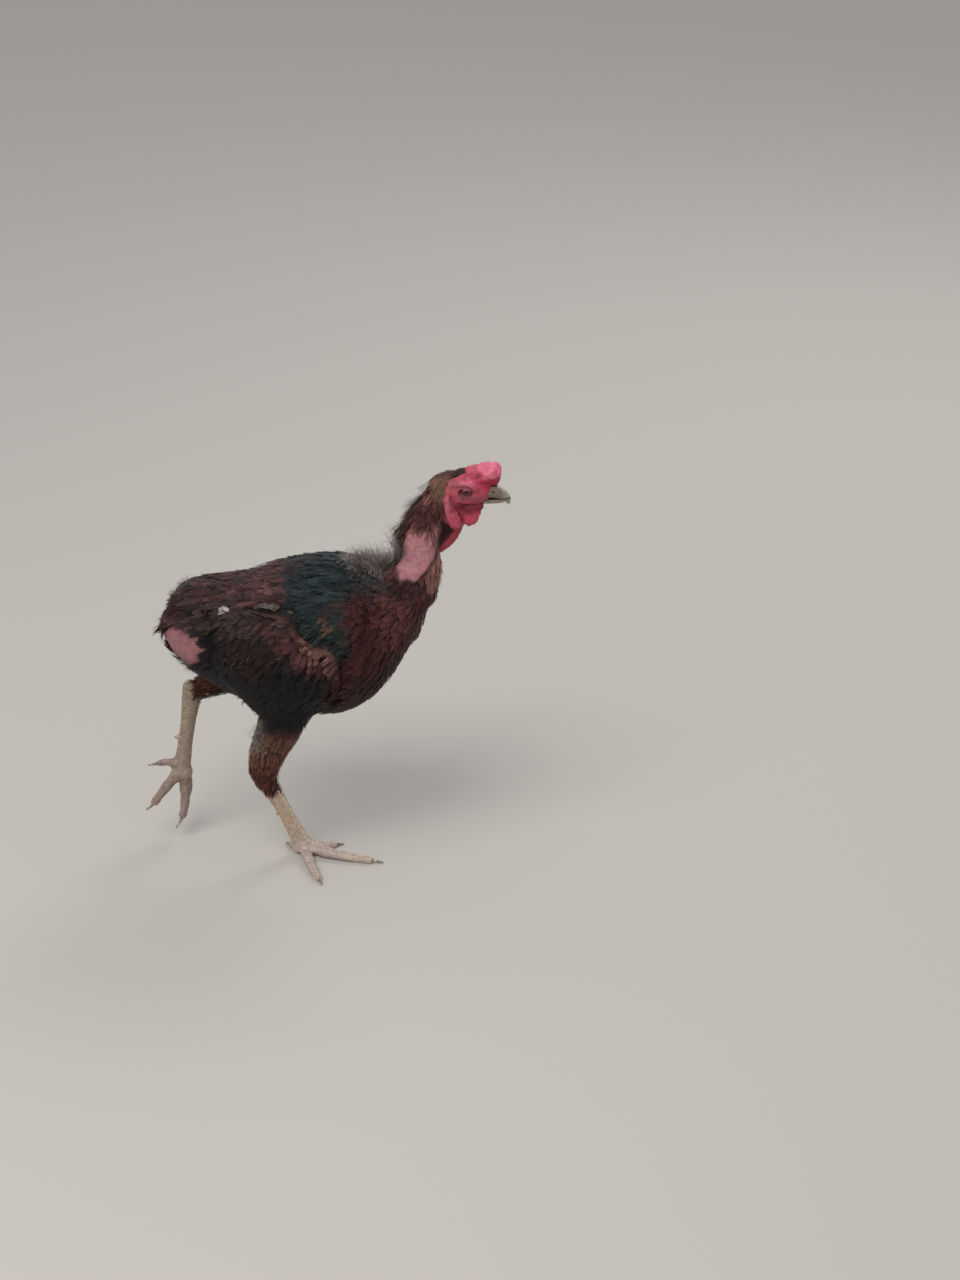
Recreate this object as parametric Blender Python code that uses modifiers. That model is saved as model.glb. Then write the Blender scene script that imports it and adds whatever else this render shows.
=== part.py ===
"""A life-size gamefowl cockerel in mid-stride, standing on its right foot with the left one lifted behind.

Blender 4.5. Metres, +Z up, +X ahead of the bird, +Y to its left. The origin is the middle of the standing
foot's sole, on the floor, and the bird's own midplane is Y = 0. Every named part is one closed solid.
"""

import math

import bmesh
import bpy
from mathutils import Matrix, Vector

# Driving sizes of the bird.
SHANK = 0.094  # hock joint to the ball of the foot
STANDING_LEAN = math.radians(22)  # how far the standing shank leans back from the vertical
LIFTED_LEAN = math.radians(-9)
GAP = 0.0004  # clearance between neighbouring solids
HALF = 0.5
FORWARD = Vector((1, 0, 0))
SIDEWAYS = Vector((0, 1, 0))
DOWN = Vector((0, 0, -1))

# The ball of each foot and the hock joint above it.
BALL_R = Vector((0, 0, 0.0095))
HOCK_R = BALL_R + Vector((-math.sin(STANDING_LEAN) * SHANK, -0.015, math.cos(STANDING_LEAN) * SHANK))
HOCK_L = Vector((-0.1085, 0.038, 0.170))
BALL_L = HOCK_L + Vector((math.sin(LIFTED_LEAN) * SHANK, -0.007, -math.cos(LIFTED_LEAN) * SHANK))

# Where the bird's one smooth body is parted: a point on the cut, and the way the part ahead of it lies.
CUTS = {
    "neck_lower": ((0.106, 0, 0.303), (0.66, 0, 0.75)),
    "neck_upper": ((0.1235, 0, 0.348), (0.30, 0, 0.95)),
    "head": ((0.1430, 0, 0.388), (0.80, 0, 0.60)),
    "tail": ((-0.100, 0, 0.255), (-1, 0, 0.25)),
}
# The trunk's upright sections: place along the bird, height of the back, height of the keel, half width.
TRUNK = [
    (-0.129, 0.272, 0.246, 0.014),
    (-0.119, 0.295, 0.227, 0.031),
    (-0.104, 0.304, 0.208, 0.044),
    (-0.085, 0.308, 0.196, 0.053),
    (-0.057, 0.310, 0.180, 0.061),
    (-0.020, 0.318, 0.166, 0.066),
    (0.021, 0.330, 0.161, 0.068),
    (0.050, 0.330, 0.165, 0.067),
    (0.075, 0.325, 0.180, 0.062),
    (0.095, 0.319, 0.203, 0.053),
    (0.112, 0.310, 0.234, 0.041),
    (0.125, 0.306, 0.259, 0.028),
    (0.134, 0.302, 0.279, 0.014),
]
# Every other loft's stations: the section's centre x, y, z, its half width, and its reach up (or ahead, where
# the loft runs upright) and down (or back).
NECK = [
    (0.088, 0, 0.266, 0.040, 0.044, 0.042),
    (0.110, 0, 0.298, 0.0265, 0.0290, 0.0305),
    (0.1195, 0, 0.320, 0.0205, 0.0225, 0.0255),
    (0.1220, 0, 0.340, 0.0185, 0.0195, 0.0195),
    (0.1265, 0, 0.358, 0.0182, 0.0205, 0.0205),
    (0.1345, 0, 0.376, 0.0175, 0.0205, 0.0200),
    (0.1450, 0, 0.392, 0.0160, 0.0195, 0.0190),
]
SKULL = [
    (0.136, 0, 0.396, 0.0130, 0.0150, 0.0150),
    (0.147, 0, 0.3985, 0.0162, 0.0200, 0.0180),
    (0.158, 0, 0.3995, 0.0165, 0.0205, 0.0160),
    (0.170, 0, 0.3995, 0.0150, 0.0180, 0.0135),
    (0.181, 0, 0.3985, 0.0118, 0.0125, 0.0110),
    (0.189, 0, 0.3970, 0.0085, 0.0085, 0.0075),
]
# The loose skin of the throat, from the jaw back and down to the neck.
THROAT = [
    (0.181, 0, 0.3885, 0.0060, 0.0050, 0.0045),
    (0.173, 0, 0.3800, 0.0070, 0.0075, 0.0065),
    (0.164, 0, 0.3720, 0.0075, 0.0080, 0.0070),
    (0.154, 0, 0.3620, 0.0070, 0.0080, 0.0060),
    (0.146, 0, 0.3500, 0.0060, 0.0060, 0.0055),
]
COMB = [
    (0.158, 0, 0.4185, 0.0050, 0.0035, 0.0035),
    (0.167, 0, 0.4175, 0.0078, 0.0070, 0.0060),
    (0.177, 0, 0.4165, 0.0092, 0.0098, 0.0080),
    (0.187, 0, 0.4155, 0.0096, 0.0112, 0.0100),
    (0.194, 0, 0.4140, 0.0086, 0.0115, 0.0110),
    (0.1975, 0, 0.4130, 0.0060, 0.0085, 0.0090),
]
BILL_UPPER = [
    (0.180, 0, 0.3970, 0.0082, 0.0072, 0.0055),
    (0.189, 0, 0.3970, 0.0078, 0.0072, 0.0058),
    (0.196, 0, 0.3960, 0.0064, 0.0066, 0.0056),
    (0.2020, 0, 0.3925, 0.0048, 0.0058, 0.0046),
    (0.2062, 0, 0.3885, 0.0030, 0.0038, 0.0030),
    (0.2078, 0, 0.3848, 0.0011, 0.0014, 0.0011),
]
BILL_LOWER = [
    (0.178, 0, 0.3890, 0.0068, 0.0024, 0.0034),
    (0.188, 0, 0.3882, 0.0062, 0.0022, 0.0030),
    (0.197, 0, 0.3876, 0.0042, 0.0020, 0.0024),
    (0.2025, 0, 0.3870, 0.0022, 0.0014, 0.0014),
]
DEWLAP = [
    (0.1605, 0, 0.3640, 0.0042, 0.0045, 0.0045),
    (0.1550, 0, 0.3525, 0.0040, 0.0050, 0.0050),
    (0.1490, 0, 0.3435, 0.0036, 0.0045, 0.0045),
    (0.1425, 0, 0.3360, 0.0022, 0.0028, 0.0028),
]
# The right side's pieces. The left wing, ear lobe and wattle mirror them.
EAR_LOBE = [
    (0.1480, -0.0150, 0.3960, 0.0025, 0.0035, 0.0035),
    (0.1510, -0.0162, 0.3860, 0.0034, 0.0048, 0.0048),
    (0.1550, -0.0170, 0.3755, 0.0040, 0.0062, 0.0062),
    (0.1575, -0.0168, 0.3670, 0.0032, 0.0048, 0.0048),
]
WATTLE = [
    (0.1725, -0.0065, 0.3870, 0.0026, 0.0112, 0.0115),
    (0.1715, -0.0085, 0.3780, 0.0028, 0.0098, 0.0100),
    (0.1700, -0.0095, 0.3710, 0.0028, 0.0078, 0.0078),
    (0.1672, -0.0095, 0.3665, 0.0018, 0.0040, 0.0040),
]
# The folded wing seen from the side, from the wrist down and round: place along the bird, height.
WING = [
    (0.069, 0.292),
    (0.065, 0.270),
    (0.053, 0.248),
    (0.039, 0.247),
    (0.026, 0.268),
    (0.006, 0.284),
    (-0.030, 0.286),
    (-0.062, 0.280),
    (-0.084, 0.272),
    (-0.082, 0.287),
    (-0.055, 0.299),
    (-0.020, 0.307),
    (0.020, 0.313),
    (0.050, 0.313),
    (0.065, 0.306),
]
WING_UNDER = 0.0015  # the wing lies this far off the trunk, and its top this far
WING_OVER = 0.0065
FLIGHT_OVER = 0.0042  # the flight feathers' top, under the wing's
FLIGHT_ROOM = 0.05  # how much larger than those feathers the hollow for them in the wing is, as a share
PLATE_NEAR = 0.012  # a wing's outline is cut through the side of the trunk between these distances
PLATE_FAR = 0.11
BLADES = 6  # flight feathers at the folded wing's rear
BLADE_ROOT = -0.058  # where they leave the wing, the heights of the fan, and where their tips end
BLADE_TOP = 0.288
BLADE_LOW = 0.262
BLADE_TIP = -0.116
BLADE_STEP = 0.0022  # each feather below ends this much further forward
BLADE_ROUND = (0.008, 0.0020, 0.0036)  # a rounded tip's length, and how far its shoulder and point drop
KNEE_OUT = math.radians(13)  # the thighs turn their knees out
THIGH_R = [
    (-0.028, -0.045, 0.297, 0.013, 0.024, 0.026),
    (-0.034, -0.050, 0.283, 0.023, 0.041, 0.044),
    (-0.028, -0.052, 0.262, 0.029, 0.054, 0.054),
    (-0.021, -0.053, 0.241, 0.031, 0.061, 0.063),
    (-0.019, -0.050, 0.222, 0.030, 0.057, 0.062),
    (-0.015, -0.044, 0.201, 0.027, 0.044, 0.048),
    (-0.014, -0.039, 0.183, 0.022, 0.030, 0.034),
    (-0.014, -0.035, 0.169, 0.014, 0.018, 0.020),
]
# The lifted leg's thigh reaches less far forward and lower.
THIGH_L = [
    (-0.032, 0.044, 0.293, 0.013, 0.022, 0.024),
    (-0.036, 0.049, 0.279, 0.023, 0.040, 0.040),
    (-0.034, 0.052, 0.258, 0.029, 0.052, 0.048),
    (-0.030, 0.053, 0.237, 0.031, 0.058, 0.055),
    (-0.028, 0.051, 0.217, 0.030, 0.055, 0.054),
    (-0.028, 0.047, 0.198, 0.026, 0.044, 0.044),
    (-0.030, 0.044, 0.182, 0.017, 0.028, 0.028),
]
# From inside the thigh down to a cuff of feathers over the hock.
DRUMSTICK_R = [
    (-0.008, -0.041, 0.200, 0.024, 0.030, 0.032),
    (-0.016, -0.037, 0.178, 0.023, 0.020, 0.031),
    (-0.0235, -0.031, 0.152, 0.0200, 0.0195, 0.0265),
    (-0.0320, -0.024, 0.125, 0.0175, 0.0190, 0.0205),
    (-0.0355, -0.0185, 0.103, 0.0145, 0.0170, 0.0165),
    (-0.0320, -0.0150, 0.087, 0.0108, 0.0130, 0.0120),
    (-0.0285, -0.0130, 0.079, 0.0085, 0.0100, 0.0095),
]
DRUMSTICK_L = [
    (-0.010, 0.050, 0.204, 0.022, 0.030, 0.030),
    (-0.036, 0.048, 0.195, 0.0235, 0.0270, 0.0270),
    (-0.064, 0.045, 0.184, 0.0200, 0.0225, 0.0225),
    (-0.086, 0.042, 0.174, 0.0155, 0.0175, 0.0175),
    (-0.1000, 0.0395, 0.168, 0.0120, 0.0140, 0.0150),
    (-0.1070, 0.0380, 0.163, 0.0085, 0.0100, 0.0110),
]
PAD = [
    (-0.006, 0, 0.0005, 0.0070, 0.0075, 0.0085),
    (0.001, 0, 0.0, 0.0098, 0.0085, 0.0105),
    (0.007, 0, -0.0008, 0.0085, 0.0065, 0.0090),
]
# Along the shank from the hock: share of the way, half width, half depth.
SHANK_GIRTH = [
    (0.00, 0.0088, 0.0098),
    (0.16, 0.0080, 0.0090),
    (0.36, 0.0062, 0.0072),
    (0.62, 0.0058, 0.0066),
    (0.84, 0.0068, 0.0076),
    (0.96, 0.0078, 0.0082),
]

EYE = Vector((0.1665, 0.0102, 0.4010))
EYE_RADIUS = 0.0055
EYE_MESH = (12, 6)  # the eyeball's segments and rings
TOE_BASE = 0.0056  # radii of a toe at its root and before its claw
TOE_END = 0.0035
CLAW_BASE = 0.0022
CLAW_END = 0.0006
CLAW = {1: 0.009, 2: 0.010, 3: 0.013, 4: 0.011}  # each toe's claw length
CLAW_HOOK = 0.34  # how far a claw's tip curves down, as a share of its length
TOE_BONES = {1: 1, 2: 2, 3: 3, 4: 3}
TOE_THICKNESS = {1: 0.82, 2: 1.0, 3: 1.0, 4: 0.95}
KNUCKLE = 1.10  # a toe's girth at each joint and half way between two, as shares of its mean
BETWEEN = 0.93
ROOT_OUT = 0.005  # each toe starts this far from the ball's middle, at this height
ROOT_HEIGHT = 0.0062
ROOT_STEP = 0.0003  # no two roots meet at one point
# The standing foot's toes: how far each turns from straight ahead, in degrees, and its length to the claw.
SPREAD = {1: (135, 0.018), 2: (19, 0.034), 3: (-17, 0.073), 4: (-72, 0.061)}
BOW = -0.08  # how far each toe's middle bows outwards, as a share of its length
# The lifted foot's toes, from the ball: root, the point each curves towards, and tip.
HANGING = {
    1: ((-0.006, 0.0, 0.009), (-0.014, -0.002, 0.012), (-0.0220, -0.004, 0.011)),
    2: ((-0.005, -0.004, -0.002), (-0.015, -0.006, -0.013), (-0.0290, -0.007, -0.033)),
    3: ((0.001, 0.0, -0.006), (0.005, 0.002, -0.030), (-0.0010, -0.002, -0.051)),
    4: ((0.002, 0.006, -0.005), (0.007, 0.014, -0.022), (0.0010, 0.020, -0.042)),
}

SPUR_PLACE = 0.58  # share of the shank's length from the hock
# The spur's stations back from the shank: back, inwards, up, and half width.
SPUR = [
    (0.0040, 0.0030, 0, 0.0030),
    (0.0080, 0.0038, 0, 0.0025),
    (0.0108, 0.0046, 0.0006, 0.0012),
]
SPUR_DEPTH = 1.13  # its depth as a share of its width

# Colour and roughness of each finish.
FINISHES = {
    "plumage_red": ((0.075, 0.022, 0.018), 0.7),
    "plumage_dark": ((0.022, 0.018, 0.018), 0.6),
    "red_skin": ((0.50, 0.04, 0.07), 0.5),
    "pink_skin": ((0.48, 0.18, 0.18), 0.55),
    "leg_scale": ((0.55, 0.42, 0.30), 0.5),
    "horn": ((0.20, 0.17, 0.13), 0.4),
    "eye": ((0.05, 0.02, 0.01), 0.1),
}

# How finely each kind of piece is cut: sides round it, and rings that round off each end.
FINE = {"sides": 16, "ends": (0.50, 0.85)}
PLAIN = {"sides": 12, "ends": (0.72,)}
SMALL = {"sides": 8, "ends": (0.72,)}
TINY = {"sides": 6, "ends": (0.72,)}
BODY_STEPS = 4  # rings between two stations, before the body is run together
BODY_SIDES = 32
MELT = {"voxel": 0.003, "ratio": 0.0205, "softening": 5}


def clear_scene():
    """Removes what the file opened with."""
    for obj in list(bpy.data.objects):
        bpy.data.objects.remove(obj, do_unlink=True)


def collection(name, hidden=False):
    """The collection of this name, made once."""
    if name not in bpy.data.collections:
        made = bpy.data.collections.new(name)
        made.hide_render = hidden
        bpy.context.scene.collection.children.link(made)
    return bpy.data.collections[name]


def material(name):
    """The Principled material of one finish, made once."""
    if name not in bpy.data.materials:
        colour, roughness = FINISHES[name]
        made = bpy.data.materials.new(name)
        made.use_nodes = True
        shader = made.node_tree.nodes["Principled BSDF"]
        shader.inputs["Base Color"].default_value = (*colour, 1)
        shader.inputs["Roughness"].default_value = roughness
    return bpy.data.materials[name]


def piece(name, mesh, finish):
    """A named part with this mesh and finish."""
    obj = bpy.data.objects.new(name, mesh)
    collection("cockerel").objects.link(obj)
    mesh.materials.clear()
    mesh.materials.append(material(finish))
    return obj


def helper(mesh):
    """An object that only shapes others. It isn't rendered."""
    obj = bpy.data.objects.new("helper", mesh)
    obj.hide_render = True
    obj.display_type = "WIRE"
    collection("helpers", hidden=True).objects.link(obj)
    return obj


def baked(obj):
    """The mesh that the object's modifiers make."""
    graph = bpy.context.evaluated_depsgraph_get()
    return bpy.data.meshes.new_from_object(obj.evaluated_get(graph))


def melted(meshes, voxel, ratio, softening):
    """One smooth closed mesh run together from several, thinned to this ratio of its faces."""
    heap = bmesh.new()
    for mesh in meshes:
        heap.from_mesh(mesh)
    mesh = bpy.data.meshes.new("heap")
    heap.to_mesh(mesh)
    heap.free()
    obj = helper(mesh)
    remesh = obj.modifiers.new("melt", "REMESH")
    remesh.mode = "VOXEL"
    remesh.voxel_size = voxel
    smooth = obj.modifiers.new("soften", "SMOOTH")
    smooth.factor = HALF
    smooth.iterations = softening
    thin = obj.modifiers.new("thin", "DECIMATE")
    thin.ratio = ratio
    mesh = baked(obj)
    bpy.data.objects.remove(obj)
    return mesh


def on_curve(stations, t):
    """The station at t, from 0 to the last index, on a Catmull-Rom curve through them all."""
    last = len(stations) - 1
    i = min(int(t), last - 1)
    f = t - i
    before, a, b, after = (stations[min(max(j, 0), last)] for j in (i - 1, i, i + 1, i + 2))
    return [
        HALF * (2 * q + f * (r - p) + f * f * (2 * p - 5 * q + 4 * r - s) + f**3 * (3 * q - p - 3 * r + s))
        for p, q, r, s in zip(before, a, b, after)
    ]


def frames(stations, steps, across, facing):
    """Each ring's centre, way along the loft, side and rise. The rise never flips from ring to ring."""
    end = len(stations) - 1
    last_rise = Vector((1e-3, 0, 1))
    for k in range(end * steps + 1):
        t = k / steps
        x, y, z, width, up, down = on_curve(stations, t)
        ahead = Vector(on_curve(stations, min(t + 0.05, end))[:3])
        behind = Vector(on_curve(stations, max(t - 0.05, 0))[:3])
        along = facing or (ahead - behind).normalized()
        side = (across - along * across.dot(along)).normalized()
        rise = along.cross(side)
        if rise.dot(last_rise) < 0:
            rise = -rise
        last_rise = rise
        yield Vector((x, y, z)), along, side, rise, width, up, down


def loft(stations, sides, ends, steps=1, grow=0.0, across=SIDEWAYS, facing=None):
    """A closed, round-ended body through the stations. Grow makes it fatter and longer all round."""
    mesh = bmesh.new()

    def ring(frame, way=0, out=0.0):
        """The section's ring, or one further out that rounds the end off."""
        centre, along, side, rise, width, up, down = frame
        centre = centre + along * way * out * (HALF * min(width, (up + down) * HALF) + grow)
        shrink = math.sqrt(1 - out * out)
        made = []
        for n in range(sides):
            angle = 2 * math.pi * n / sides
            reach = (up if math.sin(angle) > 0 else down) + grow
            outwards = side * (width + grow) * math.cos(angle) + rise * reach * math.sin(angle)
            made.append(mesh.verts.new(centre + outwards * shrink))
        return made

    def pole(frame, way):
        centre, along, _, _, width, up, down = frame
        return mesh.verts.new(centre + along * way * (HALF * min(width, (up + down) * HALF) + grow))

    rows = list(frames(stations, steps, Vector(across), facing))
    loops = [ring(rows[0], -1, out) for out in reversed(ends)]
    loops += [ring(row) for row in rows]
    loops += [ring(rows[-1], 1, out) for out in ends]
    start, finish = pole(rows[0], -1), pole(rows[-1], 1)
    for n in range(sides):
        m = (n + 1) % sides
        mesh.faces.new((start, loops[0][m], loops[0][n]))
        mesh.faces.new((finish, loops[-1][n], loops[-1][m]))
        for one, other in zip(loops, loops[1:]):
            mesh.faces.new((one[n], one[m], other[m], other[n]))
    bmesh.ops.recalc_face_normals(mesh, faces=mesh.faces)
    made = bpy.data.meshes.new("loft")
    mesh.to_mesh(made)
    mesh.free()
    made.shade_smooth()
    return made


def carve(obj, *cutters, keep=False, solver="EXACT"):
    """Takes the cutter meshes out of the object, or keeps what lies in them, and drops any loose crumb."""
    for mesh in cutters:
        tool = helper(mesh.copy())
        boolean = obj.modifiers.new("carve", "BOOLEAN")
        boolean.operation = "INTERSECT" if keep else "DIFFERENCE"
        boolean.solver = solver
        boolean.object = tool
        cut = baked(obj)
        obj.modifiers.clear()
        obj.data = cut
        bpy.data.objects.remove(tool)
    drop_crumbs(obj.data)


def drop_crumbs(data):
    """Keeps only the largest body of the mesh."""
    mesh = bmesh.new()
    mesh.from_mesh(data)
    unseen = set(mesh.verts)
    bodies = []
    while unseen:
        body = [unseen.pop()]
        for vertex in body:
            for edge in vertex.link_edges:
                other = edge.other_vert(vertex)
                if other in unseen:
                    unseen.discard(other)
                    body.append(other)
        bodies.append(body)
    bodies.sort(key=len)
    crumbs = [vertex for body in bodies[:-1] for vertex in body]
    bmesh.ops.delete(mesh, geom=crumbs, context="VERTS")
    bmesh.ops.recalc_face_normals(mesh, faces=mesh.faces)
    mesh.to_mesh(data)
    mesh.free()


def behind(data, point, normal):
    """The part of a closed mesh behind the plane, capped, as a new mesh."""
    mesh = bmesh.new()
    mesh.from_mesh(data)
    cut = bmesh.ops.bisect_plane(
        mesh,
        geom=mesh.verts[:] + mesh.edges[:] + mesh.faces[:],
        plane_co=point,
        plane_no=normal,
        clear_outer=True,
    )
    rim = [item for item in cut["geom_cut"] if isinstance(item, bmesh.types.BMEdge)]
    bmesh.ops.triangle_fill(mesh, use_beauty=True, use_dissolve=False, edges=rim, normal=normal)
    bmesh.ops.recalc_face_normals(mesh, faces=mesh.faces)
    made = bpy.data.meshes.new("half")
    mesh.to_mesh(made)
    mesh.free()
    return made


def part_ahead(obj, name, finish):
    """Parts the object by a thin cut. What lies ahead of the plane becomes the part of this name."""
    point, way = CUTS[name]
    normal = Vector(way).normalized()
    half_gap = normal * GAP * HALF
    ahead = piece(name, behind(obj.data, Vector(point) + half_gap, -normal), finish)
    obj.data = behind(obj.data, Vector(point) - half_gap, normal)
    return ahead


def mirrored(stations):
    """The same stations on the bird's other side."""
    return [(x, -y, z, *girth) for x, y, z, *girth in stations]


def moved(stations, offset):
    return [(x + offset.x, y + offset.y, z + offset.z, *girth) for x, y, z, *girth in stations]


def trunk_loft(steps, grow=0.0):
    """The trunk alone, or a larger shape that wraps round it."""
    rows = []
    for x, top, low, wide in TRUNK:
        reach = (top - low) * HALF
        rows.append((x, 0, low + reach, wide, reach, reach))
    return loft(rows, BODY_SIDES, FINE["ends"], steps=steps, facing=FORWARD, grow=grow)


def body():
    """Trunk, neck and skull as one smooth shape, then parted where a person would part them."""
    shapes = [trunk_loft(BODY_STEPS)]
    for stations in (NECK, SKULL, THROAT):
        shapes.append(loft(stations, BODY_SIDES, FINE["ends"], steps=BODY_STEPS))
    obj = piece("trunk", melted(shapes, **MELT), "plumage_red")
    neck = part_ahead(obj, "neck_lower", "pink_skin")
    upper = part_ahead(neck, "neck_upper", "plumage_red")
    head = part_ahead(upper, "head", "red_skin")
    tail = part_ahead(obj, "tail", "plumage_red")
    for part, finish in ((obj, "plumage_red"), (neck, "pink_skin"), (upper, "plumage_red")):
        part.data.materials.clear()
        part.data.materials.append(material(finish))
    return obj, tail, neck, upper, head


def ball(centre, radius):
    """A sphere with its poles on the bird's two sides, for an eye."""
    mesh = bmesh.new()
    segments, rings = EYE_MESH
    bmesh.ops.create_uvsphere(mesh, u_segments=segments, v_segments=rings, radius=radius)
    bmesh.ops.rotate(mesh, verts=mesh.verts, matrix=Matrix.Rotation(math.pi / 2, 3, "X"))
    bmesh.ops.translate(mesh, verts=mesh.verts, vec=centre)
    made = bpy.data.meshes.new("ball")
    mesh.to_mesh(made)
    mesh.free()
    made.shade_smooth()
    return made


def head_pieces(head, upper, lower):
    """Comb, bill, dewlap, eyes, ear lobes and wattles. Each makes room for itself in what it sits on."""
    comb = loft(COMB, **PLAIN, grow=GAP)
    bill = loft(BILL_UPPER, **PLAIN, grow=GAP)
    jaw = loft(BILL_LOWER, **SMALL, grow=GAP)
    dewlap = loft(DEWLAP, **SMALL, grow=GAP)
    piece("comb", loft(COMB, **PLAIN), "red_skin")
    carve(piece("bill_upper", loft(BILL_UPPER, **PLAIN), "horn"), comb)
    carve(piece("bill_lower", loft(BILL_LOWER, **SMALL), "horn"), bill)
    piece("dewlap", loft(DEWLAP, **SMALL), "red_skin")
    carve(head, comb, bill, jaw, dewlap)
    carve(upper, dewlap)
    carve(lower, dewlap)
    for side, turn, sign in (("right", list, -1), ("left", mirrored, 1)):
        centre = Vector((EYE.x, EYE.y * sign, EYE.z))
        piece(f"eye_{side}", ball(centre, EYE_RADIUS), "eye")
        carve(head, ball(centre, EYE_RADIUS + GAP))
        lobe = turn(EAR_LOBE)
        wattle = turn(WATTLE)
        carve(piece(f"ear_lobe_{side}", loft(lobe, **SMALL), "red_skin"), dewlap)
        room = loft(lobe, **SMALL, grow=GAP)
        carve(piece(f"wattle_{side}", loft(wattle, **SMALL), "red_skin"), dewlap, room, jaw, bill)
        for host in (head, upper):
            carve(host, room, loft(wattle, **SMALL, grow=GAP))


def plate(outline, sign, under, over):
    """A shell on one side of the trunk, between two heights over it, with this outline from the side."""
    mesh = bmesh.new()
    face = mesh.faces.new([mesh.verts.new((x, PLATE_NEAR * sign, z)) for x, z in outline])
    grown = bmesh.ops.extrude_face_region(mesh, geom=[face])
    lifted = [item for item in grown["geom"] if isinstance(item, bmesh.types.BMVert)]
    bmesh.ops.translate(mesh, verts=lifted, vec=(0, (PLATE_FAR - PLATE_NEAR) * sign, 0))
    bmesh.ops.recalc_face_normals(mesh, faces=mesh.faces)
    prism = bpy.data.meshes.new("outline")
    mesh.to_mesh(prism)
    mesh.free()
    obj = helper(trunk_loft(steps=1, grow=over))
    carve(obj, prism, keep=True)
    carve(obj, trunk_loft(steps=1, grow=under))
    made = obj.data
    bpy.data.objects.remove(obj)
    return made


def smooth_outline(points, steps=2):
    """More points on a closed smooth curve through these."""
    count = len(points)
    rows = points[-2:] + points + points[:3]
    return [tuple(on_curve(rows, 2 + k / steps)) for k in range(count * steps)]


def swollen(outline, share):
    """The outline made larger about its middle."""
    middle = Vector((sum(x for x, _ in outline), sum(z for _, z in outline))) / len(outline)
    return [tuple(middle + (Vector(point) - middle) * (1 + share)) for point in outline]


def flight_outline():
    """The flight feathers behind the wing: a straight top, a straight bottom, and a rounded tip for each."""
    length, shoulder, point = BLADE_ROUND
    height = (BLADE_TOP - BLADE_LOW) / BLADES
    outline = [(BLADE_ROOT, BLADE_LOW + shoulder), (BLADE_ROOT, BLADE_TOP)]
    for n in range(BLADES):
        top = BLADE_TOP - height * n
        tip = BLADE_TIP + BLADE_STEP * n
        outline += [(tip + length, top), (tip, top - shoulder), (tip + shoulder, top - point)]
    return outline


def bend(root, towards, tip, t):
    """A point on the curve from root to tip that leans towards a third point."""
    return root * (1 - t) ** 2 + towards * 2 * t * (1 - t) + tip * t * t


def toe_rows(number, root, towards, tip):
    """A toe's stations: it thins to its tip, and swells at each joint between its bones."""
    count = TOE_BONES[number] * 2
    rows = []
    for k in range(count + 1):
        t = k / count
        radius = (TOE_BASE + (TOE_END - TOE_BASE) * t) * TOE_THICKNESS[number]
        radius *= KNUCKLE if k % 2 == 0 else BETWEEN
        rows.append((*bend(root, towards, tip, t), radius, radius * 0.92, radius * 0.95))
    return rows


def claw_rows(number, tip, along, hook):
    """A claw that leaves the toe straight and curves to a point."""
    rows = []
    for t in (0.0, 0.5, 1.0):
        radius = CLAW_BASE + (CLAW_END - CLAW_BASE) * t
        centre = tip + (along * t + hook * CLAW_HOOK * t * t) * CLAW[number]
        rows.append((*centre, radius, radius * 1.15, radius * 1.15))
    return rows


def on_floor(obj):
    """Trims the part to the floor, which leaves a small flat where it reached lower."""
    if min(vertex.co.z for vertex in obj.data.vertices) < 0:
        obj.data = behind(obj.data, Vector(), DOWN)


def foot(side, ball_centre, toes, hook, shank):
    """The ball of one foot with its toes and claws."""
    pad = moved(PAD, ball_centre)
    on_floor(piece(f"foot_{side}", loft(pad, **PLAIN), "leg_scale"))
    taken = [loft(pad, **PLAIN, grow=GAP), shank]
    for number in (3, 2, 4, 1):
        root, towards, tip = toes[number]
        across = SIDEWAYS if abs((tip - root).normalized().z) > 0.6 else (tip - root).cross(DOWN)
        rows = toe_rows(number, root, towards, tip)
        toe = piece(f"toe_{number}_{side}", loft(rows, **SMALL, across=across), "leg_scale")
        carve(toe, *taken)
        on_floor(toe)
        taken.append(loft(rows, **SMALL, across=across, grow=GAP))
        rows = claw_rows(number, tip, (tip - towards).normalized(), hook)
        claw = piece(f"claw_{number}_{side}", loft(rows, **TINY, across=across), "horn")
        carve(claw, taken[-1])
        on_floor(claw)


def standing_toes():
    """Three toes spread flat on the floor and the short hind toe, from the ball outwards."""
    toes = {}
    for number, (turn, length) in SPREAD.items():
        way = Vector((math.cos(math.radians(turn)), math.sin(math.radians(turn)), 0))
        root = way * ROOT_OUT + Vector((0, 0, ROOT_HEIGHT + ROOT_STEP * number))
        towards = way * length * HALF + Vector((0, BOW * length, 0.0046))
        toes[number] = (root, towards, way * length + Vector((0, 0, 0.0029)))
    return toes


def leg(side, drumstick, thigh_room, hock, ball_centre):
    """Drumstick, bare shank and spur of one leg."""
    carve(piece(f"drumstick_{side}", loft(drumstick, **PLAIN), "plumage_red"), thigh_room)
    rows = [(*hock.lerp(ball_centre, t), wide, deep, deep) for t, wide, deep in SHANK_GIRTH]
    shank = piece(f"shank_{side}", loft(rows, **PLAIN), "leg_scale")
    carve(shank, loft(drumstick, **PLAIN, grow=GAP), loft(moved(PAD, ball_centre), **PLAIN, grow=GAP))
    inwards = 1 if side == "right" else -1
    root = hock.lerp(ball_centre, SPUR_PLACE)
    spur = []
    for back, side_step, up, half in SPUR:
        centre = root + Vector((-back, side_step * inwards, up))
        spur.append((*centre, half, half * SPUR_DEPTH, half * SPUR_DEPTH))
    room = loft(rows, **PLAIN, grow=GAP)
    carve(piece(f"spur_{side}", loft(spur, **SMALL), "horn"), room)
    return room


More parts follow.
